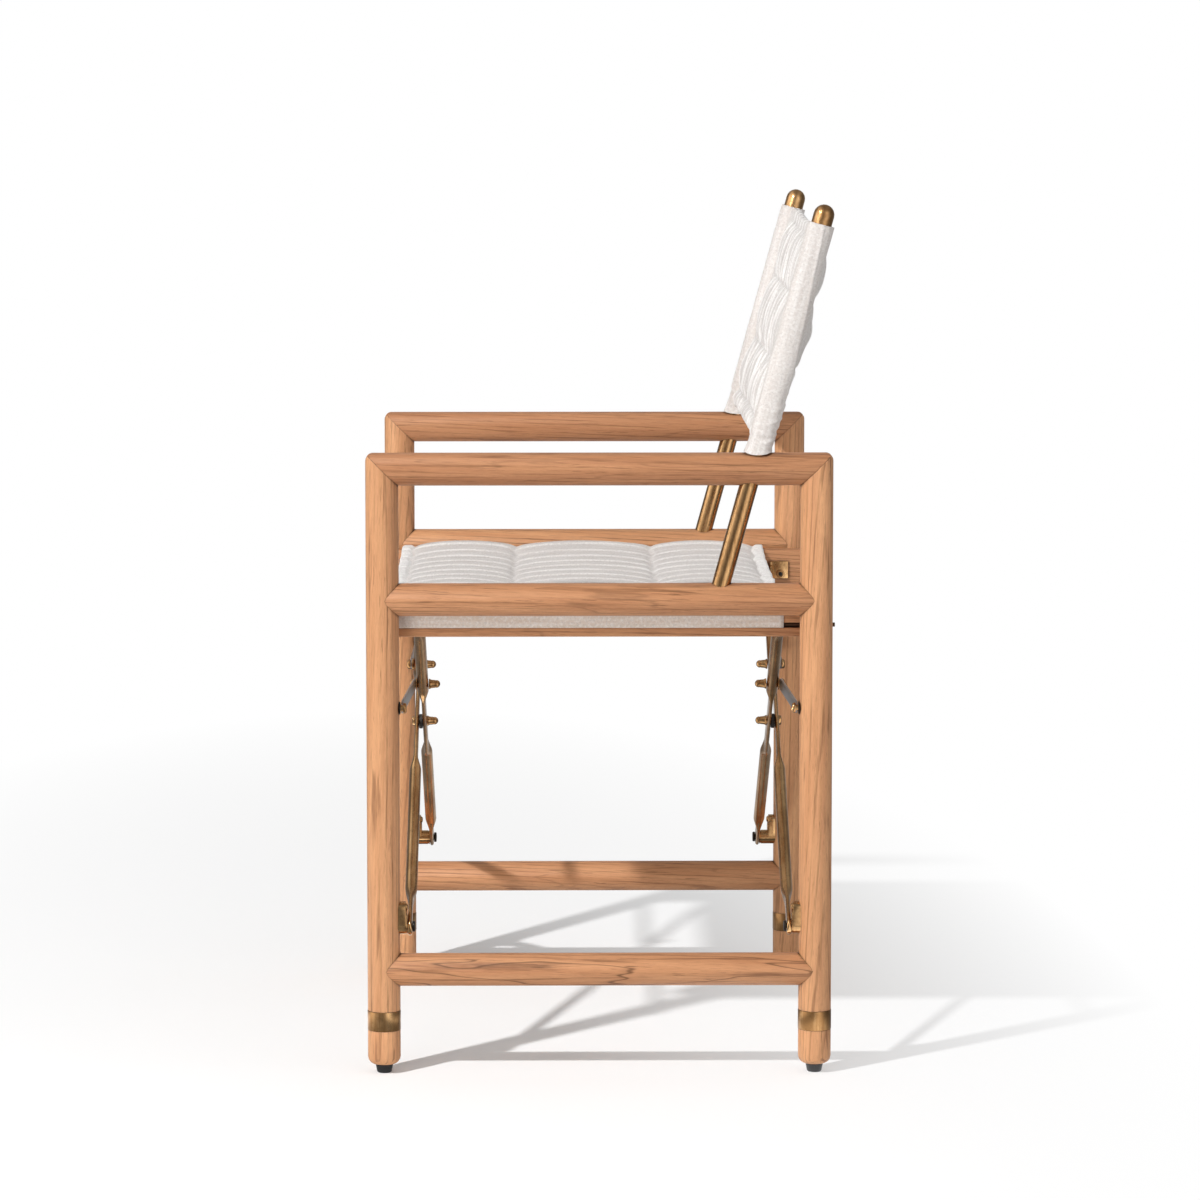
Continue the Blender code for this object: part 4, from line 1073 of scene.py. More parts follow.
class CHAIR_OT_rail_brackets(bpy.types.Operator):
    """The brass angle brackets that join the scissor legs to the seat rails"""

    bl_idname = "chair.rail_brackets"
    bl_label = "Rail brackets"

    def execute(self, context):
        for corner in CORNERS:
            self.bracket(*corner)
        return {"FINISHED"}

    def bracket(self, end, inwards, side):
        """Plate on the rail's inner face, flange outside the leg's tab, pin, and socket screw."""
        node, body, out = f"{end}_{side}_rail_bracket", f"{side}_rail", SIDES[side]
        letter = "b" if side == "left" else "a"
        plane = middle(f"{end}_leg_{letter}").y
        face = plane - inwards * TAB
        inner = out * (min(abs(RAIL_LOW.x), abs(RAIL_HIGH.x)) - CLEARANCE)
        pivot = (out * TOP_PIVOT.x, face, TOP_PIVOT.z)
        plate = bar(
            f"{node}_plate",
            (inner, face, BRACKET_LOW),
            (inner - out * 0.003, face - inwards * 0.0215, BRACKET_HIGH),
            0.0006,
        )
        finished(plate, "brass_bright", "brass", body, node, angle=50)
        flange = bar(
            f"{node}_flange",
            (pivot[0], face, BRACKET_LOW),
            (inner, face - inwards * 0.003, BRACKET_HIGH),
            0.0006,
        )
        finished(flange, "brass_turned", "brass", body, angle=50)
        rings = [(0.0074, 0.0), (0.0080, 0.0005), (0.0080, 0.0026), (0.0075, 0.0030)]
        fitting(f"{node}_ear", rings, (0, -inwards, 0), pivot, "brass_turned", body)
        rings = [(0.0030, 0.0), (0.0030, 0.0046), (0.0050, 0.0046), (0.0055, 0.0052)]
        rings += [(0.0055, 0.0066), (0.0048, 0.0076), (0.0020, 0.0078)]
        fitting(f"{node}_pin", rings, (0, inwards, 0), pivot, "brass_bright", body)
        self.screw(node, body, out, inner - out * 0.0032, face - inwards * 0.0125)

    def screw(self, node, body, out, x, y):
        rings = [(0.0048, -0.0004), (0.0048, 0.0018), (0.0044, 0.0024), (0.0036, 0.0025)]
        head = turned(f"{node}_screw", rings)
        sunk(head, 0.0016, 0.0025)
        moved(head, turn_to((-out, 0, 0), (x, y, BRACKET_SCREW)))
        finished(head, "brass_bright", "brass", body)
        # A black hexagon set in the socket of the screw head: painted shade for the socket's hollow
        rings = [(0.0026, 0.0), (0.0026, 0.0004), (0.0022, 0.0006)]
        place = (x - out * 0.0012, y, BRACKET_SCREW)
        fitting(f"{node}_socket", rings, (-out, 0, 0), place, "black_washer", body, sides=6)


# Fabric

# Along the seat, and up the back from its foot, in metres
SEAT_SEAMS = (-0.209, -0.0928, 0.0605, 0.177)
SEAT_ENDS = (-0.222, 0.190)
BACK_LEAN = math.radians(15.35)
POST_FOOT = Vector((0, 0.1211, MID_RAIL_HEIGHT))
BACK_FOOT, BACK_TOP = 0.6502, 0.8800  # heights of the back's two edges
BACK_LENGTH = (BACK_TOP - BACK_FOOT) / math.cos(BACK_LEAN)
BACK_SEAMS = (0.0, 0.022, 0.086, 0.160, BACK_LENGTH - 0.012)
REAR_SEAMS = (*BACK_SEAMS[:2], 0.072, *BACK_SEAMS[3:])  # as they show from behind
SLEEVE = 0.0128  # radius of a sleeve
DIP = 0.0078  # how far the seat hangs in the middle


def rib_profile(x):
    """1 on a rib, 0 on the band between two ribs, from the distance across the cloth."""
    pitch = bpy.context.scene.chair_fabric.pitch
    off = abs((x + pitch / 2) % pitch - pitch / 2)
    t = min(max((0.0044 - off) / 0.0022, 0.0), 1.0)
    return t * t * (3 - 2 * t)


def rib_columns(half, edge):
    """Places across the cloth: at each rib's sides and top, on the bands, and close to the edge."""
    pitch = bpy.context.scene.chair_fabric.pitch
    offsets = (0.0, 0.0020, 0.0033, 0.0046, 0.0090, 0.0155)
    found = {0.0}
    for k in range(-8, 9):
        for off in offsets:
            for place in (k * pitch - off, k * pitch + off):
                if abs(place) < half - edge:
                    found.add(round(place, 6))
        place = (k + 0.5) * pitch
        if abs(place) < half - edge:
            found.add(round(place, 6))
    return sorted(found)


def puffed_rows(seams, count):
    """Places along a run of puffs, closer together near the seams."""
    rows = []
    for low, high in zip(seams, seams[1:]):
        for i in range(count):
            t = i / count
            rows.append(low + (high - low) * (t - math.sin(2 * math.pi * t) * 0.10))
    return [*rows, seams[-1]]


def bump_between(position, seams, power=0.55):
    for low, high in zip(seams, seams[1:]):
        if low <= position <= high:
            return math.sin(math.pi * (position - low) / (high - low)) ** power
    return 0.0


def near_seam(position, seams, reach):
    gap = min(abs(position - seam) for seam in seams)
    return max(0.0, 1.0 - gap / reach)


def ripple(x, y, seed, fine=60.0, long=14.0):
    """A small, repeatable unevenness of the cloth, from -1 to 1."""
    return noise.noise(Vector((x * fine, y * long, seed)))


def add_face(shape, uv, corners, flat, material=0):
    """A smooth face. Its UV map holds each corner's flat place on the cloth, in metres."""
    made = shape.faces.new(corners)
    made.smooth = True
    made.material_index = material
    for loop in made.loops:
        loop[uv].uv = flat[loop.vert]
    return made


def quilt(name, columns, rows, upper, lower, hem_rows):
    """A closed quilt from two grids, with hems between the given pairs of rows."""
    shape = bmesh.new()
    uv = shape.loops.layers.uv.new("weave")
    flat = {}
    sides = []
    for surface in (upper, lower):
        grid = [[shape.verts.new(surface(x, y)) for y in rows] for x in columns]
        for i, x in enumerate(columns):
            for j, y in enumerate(rows):
                flat[grid[i][j]] = (x, y)
        sides.append(grid)
    for k, grid in enumerate(sides):
        for i in range(len(columns) - 1):
            for j in range(len(rows) - 1):
                corners = [grid[i][j], grid[i + 1][j], grid[i + 1][j + 1], grid[i][j + 1]]
                middle_y = (rows[j] + rows[j + 1]) / 2
                hem = any(low < middle_y < high for low, high in hem_rows)
                add_face(shape, uv, corners if k == 0 else corners[::-1], flat, int(hem))
    top, bottom = sides
    m, n = len(columns) - 1, len(rows) - 1
    hem = int(bool(hem_rows))
    for a, b, c, d in zip(top, top[1:], bottom, bottom[1:]):
        add_face(shape, uv, [b[0], a[0], c[0], d[0]], flat, hem)
        add_face(shape, uv, [a[n], b[n], d[n], c[n]], flat, hem)
    for j in range(n):
        add_face(shape, uv, [top[0][j], top[0][j + 1], bottom[0][j + 1], bottom[0][j]], flat)
        add_face(shape, uv, [top[m][j + 1], top[m][j], bottom[m][j], bottom[m][j + 1]], flat)
    return piece_of(shape, name)


def fill_out(piece, pinned, cap, frames=14):
    """Simulates how the filling pushes the cloth out between its seams, up to a cap.

    Gives back where each vertex was before.
    """
    start = [vert.co.copy() for vert in piece.data.vertices]
    make_active(piece)
    group = piece.vertex_groups.new(name="sewn")
    for index, co in enumerate(start):
        group.add([index], pinned[index], "REPLACE")
    cloth = piece.modifiers.new("Filling", "CLOTH")
    settings = cloth.settings
    settings.quality = 6
    settings.mass = 0.25
    settings.tension_stiffness = settings.compression_stiffness = 20
    settings.shear_stiffness = 8
    settings.bending_stiffness = 0.6
    settings.vertex_group_mass = "sewn"
    settings.use_pressure = True
    settings.uniform_pressure_force = bpy.context.scene.chair_fabric.pressure
    settings.shrink_min = -0.025
    settings.effector_weights.gravity = 0.0
    cloth.collision_settings.use_collision = False
    cloth.point_cache.frame_end = frames
    for step in range(1, frames + 1):
        bpy.context.scene.frame_set(step)
    bpy.ops.object.modifier_apply(modifier=cloth.name)
    bpy.context.scene.frame_set(1)
    piece.vertex_groups.clear()
    for vert, first in zip(piece.data.vertices, start):
        step = vert.co - first
        if step.length > cap:
            vert.co = first + step * (cap / step.length)
    return start


def flat_places(piece, columns, rows):
    """For each vertex of a quilt: whether it is on the lower side, and its flat place."""
    count = len(columns) * len(rows)
    for index in range(len(piece.data.vertices)):
        yield index >= count, columns[index % count // len(rows)], rows[index % len(rows)]


def raise_ribs(piece, places, share):
    """Lifts the ribs off the bands, less where the seams hold the cloth down."""
    height = bpy.context.scene.chair_fabric.rib_height
    normals = [vert.normal.copy() for vert in piece.data.vertices]
    for vert, normal, (x, along) in zip(piece.data.vertices, normals, places):
        vert.co += normal * height * rib_profile(x) * share(x, along)
    piece.data.update()


def smoothed(piece, *cloths):
    """Smooths a quilt and gives it its cloths."""
    add_modifier(piece, "SUBSURF", levels=1, render_levels=1)
    apply_modifiers(piece)
    for cloth in cloths:
        piece.data.materials.append(finish(cloth))


class CHAIR_OT_seat(bpy.types.Operator):
    """The quilted seat: three filled puffs, crossed by raised ribs, over both seat rails"""

    bl_idname = "chair.seat"
    bl_label = "Seat quilt"

    def execute(self, context):
        base = RAIL_HIGH.z + CLEARANCE
        closed = base + 0.0008
        edge = max(abs(RAIL_LOW.x), abs(RAIL_HIGH.x)) + 0.0030
        flat_to = edge - 0.0085
        columns = rib_columns(edge, 0.0100)
        turns = [math.sin(math.radians(a)) for a in (0, 20, 40, 58, 74, 90)]
        rounds = [flat_to + (edge - flat_to) * turn for turn in turns]
        columns = [*(-x for x in reversed(rounds)), *columns, *rounds]
        front, rear = SEAT_ENDS
        hem = (0.0015, 0.0045, 0.0075, 0.0105)
        rows = [front, *(front + h for h in hem), *puffed_rows(SEAT_SEAMS, 15)]
        rows += [*(rear - h for h in reversed(hem)), rear]

        def inside(x):
            return max(0.0, 1.0 - abs(x / edge) ** 4)

        def upper(x, y):
            puff = 0.0092 * bump_between(y, SEAT_SEAMS, 0.5)
            hem_up = 0.0030 if y < SEAT_SEAMS[0] - 0.001 or y > SEAT_SEAMS[-1] + 0.001 else 0.0
            hem_up += 0.0012 * math.cos(2 * math.pi * x / 0.0228) if hem_up else 0.0
            hem_up *= 0.4 if y in (front, rear) else 1.0
            z = base + 0.0014 + puff + hem_up
            pucker = near_seam(y, SEAT_SEAMS, 0.035)
            z += 0.0007 * ripple(x, y, 3.0, 75.0, 22.0) * (0.4 + pucker)
            side = max(0.0, (abs(x) - flat_to) / (edge - flat_to))
            z = closed + (z - closed) * math.sqrt(max(0.0, 1.0 - side**2))
            y += 0.0034 * ripple(x, 0.0, 9.0, 34.0) * pucker * (front < y < rear)
            return Vector((x, y, z - DIP * inside(x)))

        def lower(x, y):
            if abs(x) > 0.222:
                return Vector((min(max(x, -edge + 0.0004), edge - 0.0004), y, base))
            free = min(1.0, 3 * (1.0 - abs(x) / 0.229))
            thick = 0.0045 + 0.0045 * bump_between(y, SEAT_SEAMS)
            return Vector((x, y, base - free * thick - DIP * inside(x)))

        hems = ((front, SEAT_SEAMS[0]), (SEAT_SEAMS[-1], rear))
        piece = quilt("seat_quilt", columns, rows, upper, lower, hems)
        pinned = []
        for under, x, y in flat_places(piece, columns, rows):
            held = not SEAT_SEAMS[0] < y < SEAT_SEAMS[-1]
            held = held or min(abs(y - seam) for seam in SEAT_SEAMS) < 0.001
            held = held or abs(x) > edge - 0.0012 or (under and abs(x) > 0.215)
            pinned.append(1.0 if held else 0.0)

        def share(x, y):
            if abs(x) < edge - 0.004 and SEAT_SEAMS[0] < y < SEAT_SEAMS[-1]:
                return 0.25 + 0.75 * (1 - near_seam(y, SEAT_SEAMS, 0.010))
            return 0.0

        start = fill_out(piece, pinned, 0.0036)
        raise_ribs(piece, [(co.x, co.y) for co in start], share)
        smoothed(piece, "seat_cloth", "hem_cloth")
        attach(piece, "left_rail")
        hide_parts("seat_cushion")
        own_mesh(piece)
        for side in SIDES:
            self.skirt(side, base, edge)
        return {"FINISHED"}

    def skirt(self, side, base, edge):
        """The plain cloth that turns down over a rail's outer face and round its rod."""
        out = SIDES[side]
        rail_x = max(abs(RAIL_LOW.x), abs(RAIL_HIGH.x))
        profile = [(edge - 0.0022, base + 0.0012), (edge - 0.0014, base - 0.001)]
        profile += [(edge - 0.0016, base - z) for z in (0.006, 0.012, 0.018, 0.023)]
        for angle in (10, -20, -50, -80, -110, -140):
            a = math.radians(angle)
            profile.append((rail_x - 0.0040 + 0.0052 * math.cos(a), ROD.z + 0.0031 * math.sin(a)))
        front, rear = SEAT_ENDS
        rows = [front + 0.0005 + (rear - front - 0.001) * i / 96 for i in range(97)]
        shape = bmesh.new()
        uv = shape.loops.layers.uv.new("weave")
        grid, flat = [], {}
        run = 0.0
        for k, (x, z) in enumerate(profile):
            if k:
                run += math.dist(profile[k], profile[k - 1])
            line = []
            for y in rows:
                wave = 0.0004 * ripple(z, y, 21.0 + out, 40.0, 34.0) * min(1.0, k / 2)
                vert = shape.verts.new((out * (x + wave), y, z + 0.3 * wave))
                flat[vert] = (run, y)
                line.append(vert)
            grid.append(line)
        for a, b in zip(grid, grid[1:]):
            for j in range(len(rows) - 1):
                corners = [a[j], a[j + 1], b[j + 1], b[j]]
                add_face(shape, uv, corners if out > 0 else corners[::-1], flat)
        bmesh.ops.recalc_face_normals(shape, faces=shape.faces[:])
        piece = piece_of(shape, f"{side}_skirt")
        add_modifier(piece, "SOLIDIFY", thickness=0.0009, offset=0.0)
        apply_modifiers(piece)
        give(piece, "skirt_cloth")
        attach(piece, f"{side}_rail")


def back_place(x, offset, along):
    """A point of the back: across, behind the line of the posts, and up along them."""
    foot = POST_FOOT + Vector((0, math.tan(BACK_LEAN), 1)) * (BACK_FOOT - POST_FOOT.z)
    up = Vector((0, math.sin(BACK_LEAN), math.cos(BACK_LEAN)))
    behind = Vector((0, math.cos(BACK_LEAN), -math.sin(BACK_LEAN)))
    return Vector((x, 0, 0)) + foot + up * along + behind * offset


class CHAIR_OT_back(bpy.types.Operator):
    """The quilted back: rows of filled puffs crossed by ribs, between two sleeves"""

    bl_idname = "chair.back"
    bl_label = "Back quilt"

    def execute(self, context):
        half = FRAME_X - 0.0045
        columns = rib_columns(half, 0.0040)
        columns = [-half, *columns, half]
        seams = BACK_SEAMS
        top = BACK_LENGTH
        rows = [*puffed_rows(seams[:2], 6)[:-1], *puffed_rows(seams[1:], 14)]
        rows += [top - 0.0085, top - 0.0045, top - 0.0015, top]

        def fullness(x):
            t = min((half - abs(x)) / 0.055, 1.0)
            return t * (2.0 - t)

        def sag(x):
            return 0.0070 * (1 - (x / half) ** 2)

        def along(x, z):
            lift = 0.0075 * (1 - (x / half) ** 6)
            return z - sag(x) * (z / top) ** 3 + lift * (1 - z / top) ** 6

        def upper(x, z):
            flat = -0.0080 + 0.0090 * z / top
            puff = 0.0040 * bump_between(z, seams) * fullness(x)
            rough = 0.0005 * ripple(x, z, 31.0, 70.0, 26.0) * (0.4 + near_seam(z, seams, 0.02))
            edge = -0.0085 * (1 - fullness(x)) ** 2
            thin = 0.5 if z == top else 1.0
            offset = (flat - puff + rough) * fullness(x) + edge
            return back_place(x, offset * thin + 0.004 * (1 - thin), along(x, z))

        def lower(x, z):
            bulge = 0.0060 * math.sin(math.pi * z / top) ** 2
            low = min(max((0.100 - z) / 0.040, 0.0), 1.0)
            full = 0.0088 + 0.0012 * z / top + bulge - 0.0030 * low
            full += 0.0028 * (1 - 0.5 * low) * bump_between(z, REAR_SEAMS)
            rough = 0.0005 * ripple(x, z, 47.0, 60.0, 26.0)
            edge = 0.0070
            thin = 0.45 if z == top else 0.8 if z > seams[-1] + 0.001 else 1.0
            return back_place(x, (edge + (full - edge) * fullness(x)) * thin + rough, along(x, z))

        piece = quilt("back_quilt", columns, rows, upper, lower, ())
        places = [(x, z) for _, x, z in flat_places(piece, columns, rows)]
        pinned = []
        for x, z in places:
            held = min(abs(z - seam) for seam in seams) < 0.001 or z > seams[-1] or z == 0.0
            pinned.append(1.0 if held or half - abs(x) < 0.016 else 0.0)

        def share(x, z):
            return (0.3 + 0.7 * (1 - near_seam(z, seams, 0.006))) * (half - abs(x) > 0.004)

        fill_out(piece, pinned, 0.0032)
        raise_ribs(piece, places, share)
        face_outwards(piece)
        smoothed(piece, "quilt_cloth")
        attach(piece, "left_frame")
        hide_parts("back_panel")
        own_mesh(piece)
        return {"FINISHED"}


# Folds low on the sleeves: height as a share of the sleeve, size, and slope round it
SLEEVE_FOLDS = (
    (0.050, 0.0007, 0.012),
    (0.085, 0.0010, -0.010),
    (0.135, 0.0011, 0.018),
    (0.190, 0.0008, 0.026),
)


class CHAIR_OT_sleeves(bpy.types.Operator):
    """The plain cloth sleeves of the back, over both posts"""

    bl_idname = "chair.sleeves"
    bl_label = "Back sleeves"

    def execute(self, context):
        for side in SIDES:
            self.sleeve(side)
        return {"FINISHED"}

    def foot(self, x, offset, across):
        """How far along the post the sleeve starts, where it rests on the arm rail."""
        reach = WOOD_RADIUS + 0.0012
        along = 0.0
        for _ in range(6):
            place = back_place(x, offset, along)
            away = min(abs(across), reach * 0.98)
            surface = ARM_HEIGHT + reach - 0.55 * (reach - math.sqrt(reach**2 - away**2))
            along += (surface - place.z) / math.cos(BACK_LEAN)
        return along

    def sleeve(self, side):
        out = SIDES[side]
        around, rows = 64, 132
        top = BACK_LENGTH + 0.0002
        shape = bmesh.new()
        uv = shape.loops.layers.uv.new("weave")
        grid, flat = [], {}
        for i in range(around):
            angle = 2 * math.pi * i / around
            line = []
            for j in range(rows + 1):
                t = (j / rows) ** 1.35
                ax, off = self.section(angle, t, out)
                start = self.foot(out * FRAME_X + ax, off, ax)
                along = start + (top - start) * t
                vert = shape.verts.new(back_place(out * FRAME_X + ax, off, along))
                flat[vert] = (angle * SLEEVE, along)
                line.append(vert)
            grid.append(line)
        for i in range(around):
            a, b = grid[i], grid[(i + 1) % around]
            for j in range(rows):
                made = add_face(shape, uv, [a[j], b[j], b[j + 1], a[j + 1]], flat)
                for loop in made.loops:
                    if i == around - 1 and loop.vert in b:
                        loop[uv].uv = (2 * math.pi * SLEEVE, flat[loop.vert][1])
        bmesh.ops.recalc_face_normals(shape, faces=shape.faces[:])
        piece = piece_of(shape, f"{side}_sleeve")
        add_modifier(piece, "SOLIDIFY", thickness=0.0010, offset=-1.0)
        apply_modifiers(piece)
        give(piece, "sleeve_cloth")
        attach(piece, f"{side}_frame")

    def section(self, angle, t, out):
        """Across and behind, from the post's axis, of a point round the sleeve at height t."""
        across, behind = math.sin(angle) * out, -math.cos(angle)
        square = (abs(across) ** 2.7 + abs(behind) ** 2.7) ** (-1 / 2.7)
        radius = (SLEEVE - 0.0004) * (0.35 + 0.65 * square)
        low = max(0.0, 1.0 - t / 0.34)
        fold = noise.noise(Vector((angle * 0.9, t * 34.0, 5.0 + out)))
        radius -= 0.0016 * max(0.0, fold) ** 0.7 * low
        radius += 0.0004 * noise.noise(Vector((angle * 0.8, t * 9.0, 2.0)))
        radius -= 0.0010 * math.exp(-(((t - 0.075) / 0.035) ** 2))
        radius += 0.0008 * max(0.0, 1.0 - t / 0.02)
        for place, size, slope in SLEEVE_FOLDS:
            height = t - place - slope * math.sin(angle - 0.6 * math.pi)
            share = max(0.0, math.cos(angle - 0.62 * math.pi)) ** 0.7
            crest = math.exp(-((height / 0.008) ** 2))
            hollow = math.exp(-(((height - 0.014) / 0.010) ** 2))
            radius += size * share * (crest - 0.5 * hollow)
        crease = 0.55 * math.pi + 0.32 * math.pi * min(1.0, (1.0 - t) / 0.8)
        turn = math.atan2(math.sin(angle - crease), math.cos(angle - crease))
        radius += 0.0017 * math.exp(-abs(turn) / 0.07) * (1 - 0.5 * low)
        return across * radius, behind * (radius + 0.0014) - 0.0019


# Stage

CAMERA_PLACE = (5.0406, -0.0497, 1.0488)
CAMERA_PITCH, CAMERA_YAW = math.radians(5.659), math.radians(0.581)
CAMERA_SHIFT = -0.0667  # down, as a share of the picture
PANEL_PLACE = Vector((3.4, -1.5, 0.55))
FLOOR_BOUNCE = 0.55  # light that the far floor gives to the undersides
NEAR_FLOOR, FAR_FLOOR = 0.26, 0.94  # where the floor turns from shaded to plain white
EVEN_FILL, REAR_FILL = 0.81, 1.3  # shares of the fill from all round and from behind the chair

SEEN = ("Camera", "Glossy", "Transmission")  # the rays that show things, not light them

# What metal mirrors, as (share of a turn, brightness), and the same for the ceiling along Y
ROOM = (
    *((0.0, 0.6), (0.06, 0.30), (0.19, 0.14), (0.23, 2.4), (0.28, 2.0), (0.325, 0.95)),
    *((0.39, 0.45), (0.44, 0.24), (0.49, 0.22), (0.535, 1.0), (0.60, 1.7), (0.65, 0.50)),
    *((0.70, 0.18), (0.80, 0.11), (0.93, 0.30), (1.0, 0.6)),
)
CEILING = (
    *((0.0, 0.10), (0.10, 0.12), (0.19, 1.4), (0.27, 0.9), (0.40, 0.30), (0.60, 0.26)),
    *((0.75, 0.40), (0.90, 0.55), (1.0, 0.6)),
)


def glow(tree, strength):
    """White light of its own, as strong as a pattern says."""
    inputs = {"Color": (1, 1, 1, 1), "Strength": strength}
    return tree.node("ShaderNodeEmission", inputs).outputs[0]


def rays(tree, *kinds):
    """1 for light that is any of these kinds, such as Camera, and 0 for the rest."""
    path = tree.node("ShaderNodeLightPath").outputs
    found = path[f"Is {kinds[0]} Ray"]
    for kind in kinds[1:]:
        found = tree.most(found, path[f"Is {kind} Ray"])
    return found


def fresh_tree(owner):
    """The emptied node tree of a material or a world."""
    owner.use_nodes = True
    owner.node_tree.nodes.clear()
    return Tree(owner.node_tree)


def put(name, data, matrix):
    """Puts a lamp or a camera in the scene."""
    item = bpy.data.objects.new(name, data)
    item.matrix_world = matrix
    bpy.context.scene.collection.objects.link(item)
    return item


class CHAIR_OT_stage(bpy.types.Operator):
    """The pale floor, the surroundings, the two lamps and the camera"""

    bl_idname = "chair.stage"
    bl_label = "Floor, light and camera"

    def execute(self, context):
        self.floor()
        self.surroundings()
        self.lamps()
        self.camera()
        context.scene.view_settings.view_transform = "Standard"
        return {"FINISHED"}

    def unseen(self, tree):
        """0 for what the camera, a reflection or a refraction sees, and 1 for the light itself."""
        return tree.minus(1.0, rays(tree, *SEEN))

    def shown(self, tree, place):
        """1 for the camera; for a reflection, bright panels at both sides and a darker room."""
        side = tree.split(place)
        turn = tree.math("ARCTAN2", side["Y"], side["X"])
        turn = tree.plus(tree.math("DIVIDE", turn, 2 * math.pi), 0.5)
        across = tree.follow(side["Y"], 0.5, 0.5)
        height = tree.ramp(side["Z"], (0.50, 0.0), (0.78, 1.0))
        room = tree.mix(height, tree.ramp(turn, *ROOM), tree.ramp(across, *CEILING))
        glossy = tree.times(rays(tree, "Glossy"), room)
        return tree.most(rays(tree, "Camera", "Transmission"), glossy)

    def floor(self):
        studio = bpy.context.scene.chair_studio
        deselect_all()
        bpy.ops.mesh.primitive_circle_add(
            vertices=96, radius=14, fill_type="TRIFAN", location=(0, 0, 0)
        )
        floor = bpy.context.object
        floor.name = "studio_floor"
        material = bpy.data.materials.new("studio_floor")
        tree = fresh_tree(material)
        diffuse = tree.node("ShaderNodeBsdfDiffuse", {"Color": (0.95, 0.95, 0.95, 1)})
        lift = glow(tree, tree.times(rays(tree, *SEEN), studio.floor_lift))
        near = tree.node("ShaderNodeAddShader", {0: diffuse.outputs[0], 1: lift})
        place = tree.place("Object")
        bounce = tree.times(self.unseen(tree), FLOOR_BOUNCE)
        white = glow(tree, tree.plus(self.shown(tree, place), bounce))
        place = tree.mapping(place, (0.35, 1.0, 1.0), (-0.09, 0.30, 0.0))
        length = tree.node("ShaderNodeVectorMath", {0: place}, operation="LENGTH")
        limits = {"From Min": NEAR_FLOOR, "From Max": FAR_FLOOR}
        inputs = {"Value": length.outputs["Value"], **limits}
        spread = tree.node("ShaderNodeMapRange", inputs).outputs["Result"]
        share = tree.most(spread, rays(tree, "Glossy"))
        both = tree.node("ShaderNodeMixShader", {0: share, 1: near.outputs[0], 2: white})
        tree.node("ShaderNodeOutputMaterial", {"Surface": both.outputs[0]})
        floor.data.materials.append(material)

    def surroundings(self):
        """White to the camera, a room for the metal to mirror, and a soft fill for the rest."""
        studio = bpy.context.scene.chair_studio
        world = bpy.data.worlds.new("studio")
        bpy.context.scene.world = world
        tree = fresh_tree(world)
        place = tree.place("Generated")
        beyond = tree.most(tree.split(place)["Y"], 0.0)
        fill = tree.follow(beyond, REAR_FILL * studio.fill, EVEN_FILL * studio.fill)
        strength = tree.plus(self.shown(tree, place), tree.times(self.unseen(tree), fill))
        inputs = {"Color": (1, 1, 1, 1), "Strength": strength}
        back = tree.node("ShaderNodeBackground", inputs)
        tree.node("ShaderNodeOutputWorld", {"Surface": back.outputs[0]})

    def lamps(self):
        """A small lamp of even reach for the shadows, and a broad soft one beside the camera."""
        studio = bpy.context.scene.chair_studio
        data = bpy.data.lights.new("key_lamp", "POINT")
        data.shadow_soft_size = studio.key_radius
        data.energy = 4 * math.pi**2 * studio.key_strength
        data.use_nodes = True
        tree = Tree(data.node_tree)
        even = tree.node("ShaderNodeLightFalloff", {"Strength": 1.0}).outputs["Constant"]
        tree.fill(data.node_tree.nodes["Emission"], {"Strength": even})
        put("key_lamp", data, Matrix.Translation(studio.key_place))
        beam = PANEL_PLACE - Vector((0, 0, 0.45))
        data = bpy.data.lights.new("front_panel", "AREA")
        data.shape = "RECTANGLE"
        data.size, data.size_y = 1.6, 1.0
        data.energy = math.pi**2 * beam.length_squared * studio.front
        turn = beam.to_track_quat("Z", "Y").to_matrix().to_4x4()
        put("front_panel", data, Matrix.Translation(PANEL_PLACE) @ turn).visible_glossy = False

    def camera(self):
        data = bpy.data.cameras.new("front_camera")
        data.sensor_width = 36
        data.lens = bpy.context.scene.chair_studio.focal_length
        data.shift_y = CAMERA_SHIFT
        level = math.cos(CAMERA_PITCH)
        x, y = -level * math.cos(CAMERA_YAW), level * math.sin(CAMERA_YAW)
        forward = Vector((x, y, -math.sin(CAMERA_PITCH)))
        right = Vector((math.sin(CAMERA_YAW), math.cos(CAMERA_YAW), 0))
        turn = Matrix((right, right.cross(forward), -forward)).transposed().to_4x4()
        camera = put("front_camera", data, Matrix.Translation(CAMERA_PLACE) @ turn)
        bpy.context.scene.camera = camera


class CHAIR_PT_sidebar(bpy.types.Panel):
    """Lists the sizes, the colours and the pieces of the chair"""

    bl_idname = "CHAIR_PT_sidebar"
    bl_label = "Directors chair"
    bl_space_type = "VIEW_3D"
    bl_region_type = "UI"
    bl_category = "Chair"

    def draw(self, context):
        for name, group in GROUPS.items():
            box = self.layout.box()
            box.label(text=name.replace("_", " ").capitalize())
            for prop in group.__annotations__:
                box.prop(getattr(context.scene, name), prop)
        for operator in OPERATORS:
            self.layout.operator(operator.bl_idname)


OPERATORS = [
    CHAIR_OT_wood,
    CHAIR_OT_brass,
    CHAIR_OT_scissor_legs,
    CHAIR_OT_nuts,
    CHAIR_OT_stay_links,
    CHAIR_OT_hinges,
    CHAIR_OT_rail_brackets,
    CHAIR_OT_seat,
    CHAIR_OT_back,
    CHAIR_OT_sleeves,
    CHAIR_OT_stage,
]
CLASSES = [*GROUPS.values(), *OPERATORS, CHAIR_PT_sidebar]


def register():
    for item in CLASSES:
        bpy.utils.register_class(item)
    for name, group in GROUPS.items():
        setattr(bpy.types.Scene, name, bpy.props.PointerProperty(type=group))


def unregister():
    for name in GROUPS:
        delattr(bpy.types.Scene, name)
    for item in reversed(CLASSES):
        bpy.utils.unregister_class(item)


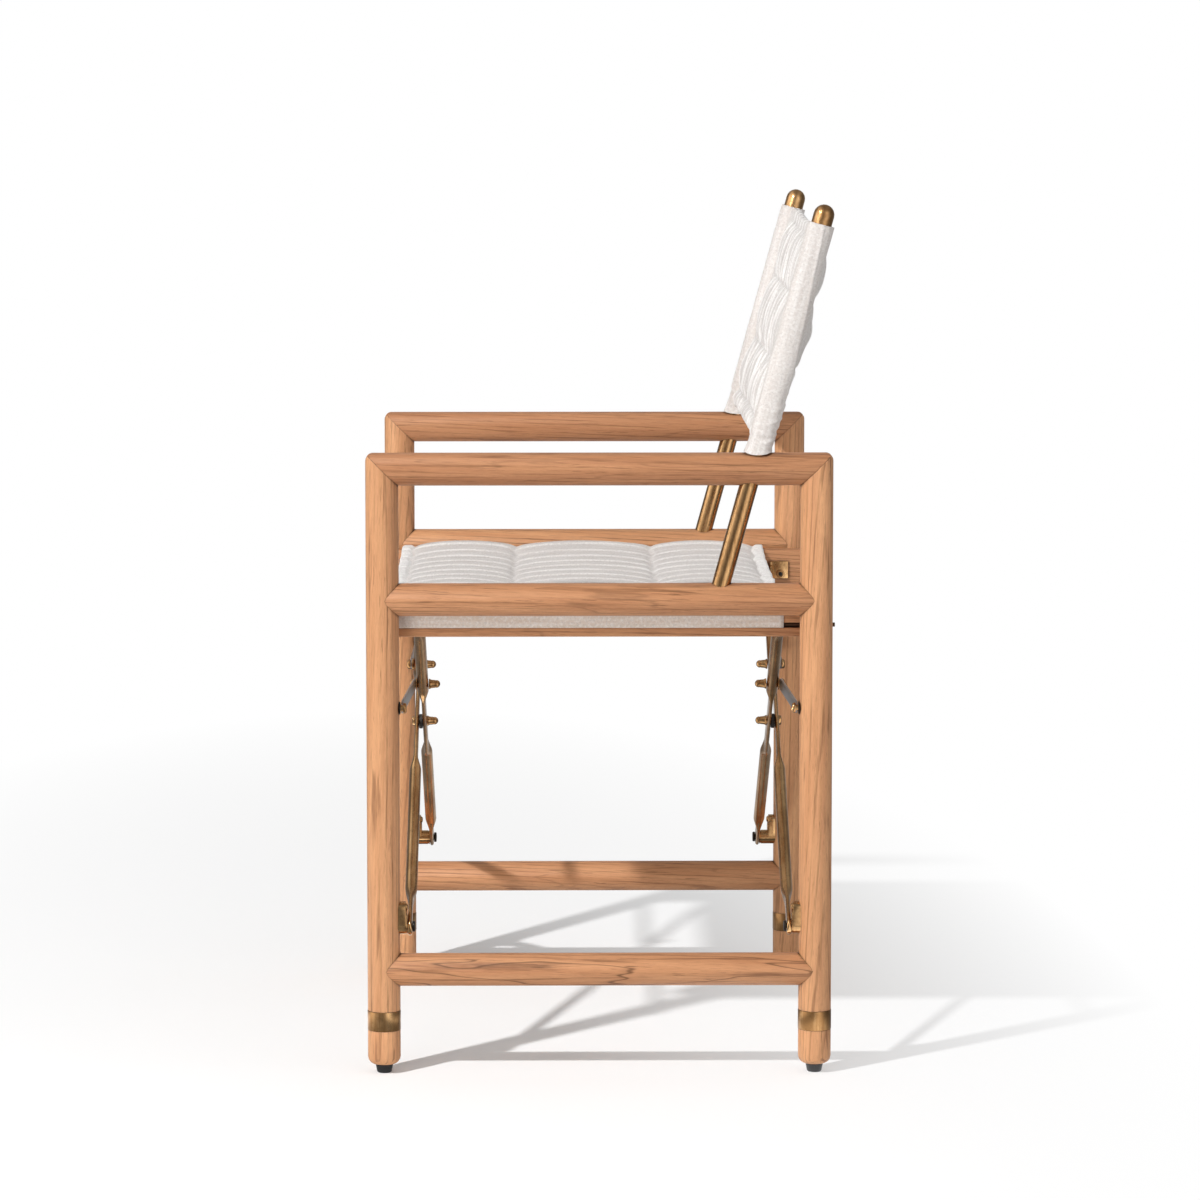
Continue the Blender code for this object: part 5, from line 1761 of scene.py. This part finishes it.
def corners(bounds):
    return [[round(float(value), 6) for value in corner] for corner in bounds]


def main():
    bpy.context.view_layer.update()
    register()
    deselect_all()
    bpy.ops.chair.wood()
    bpy.ops.chair.brass()
    bpy.ops.chair.scissor_legs()
    bpy.ops.chair.nuts()
    bpy.ops.chair.stay_links()
    bpy.ops.chair.hinges()
    bpy.ops.chair.rail_brackets()
    bpy.ops.chair.seat()
    bpy.ops.chair.back()
    bpy.ops.chair.sleeves()
    bpy.ops.chair.stage()


if __name__ == "__main__":
    main()
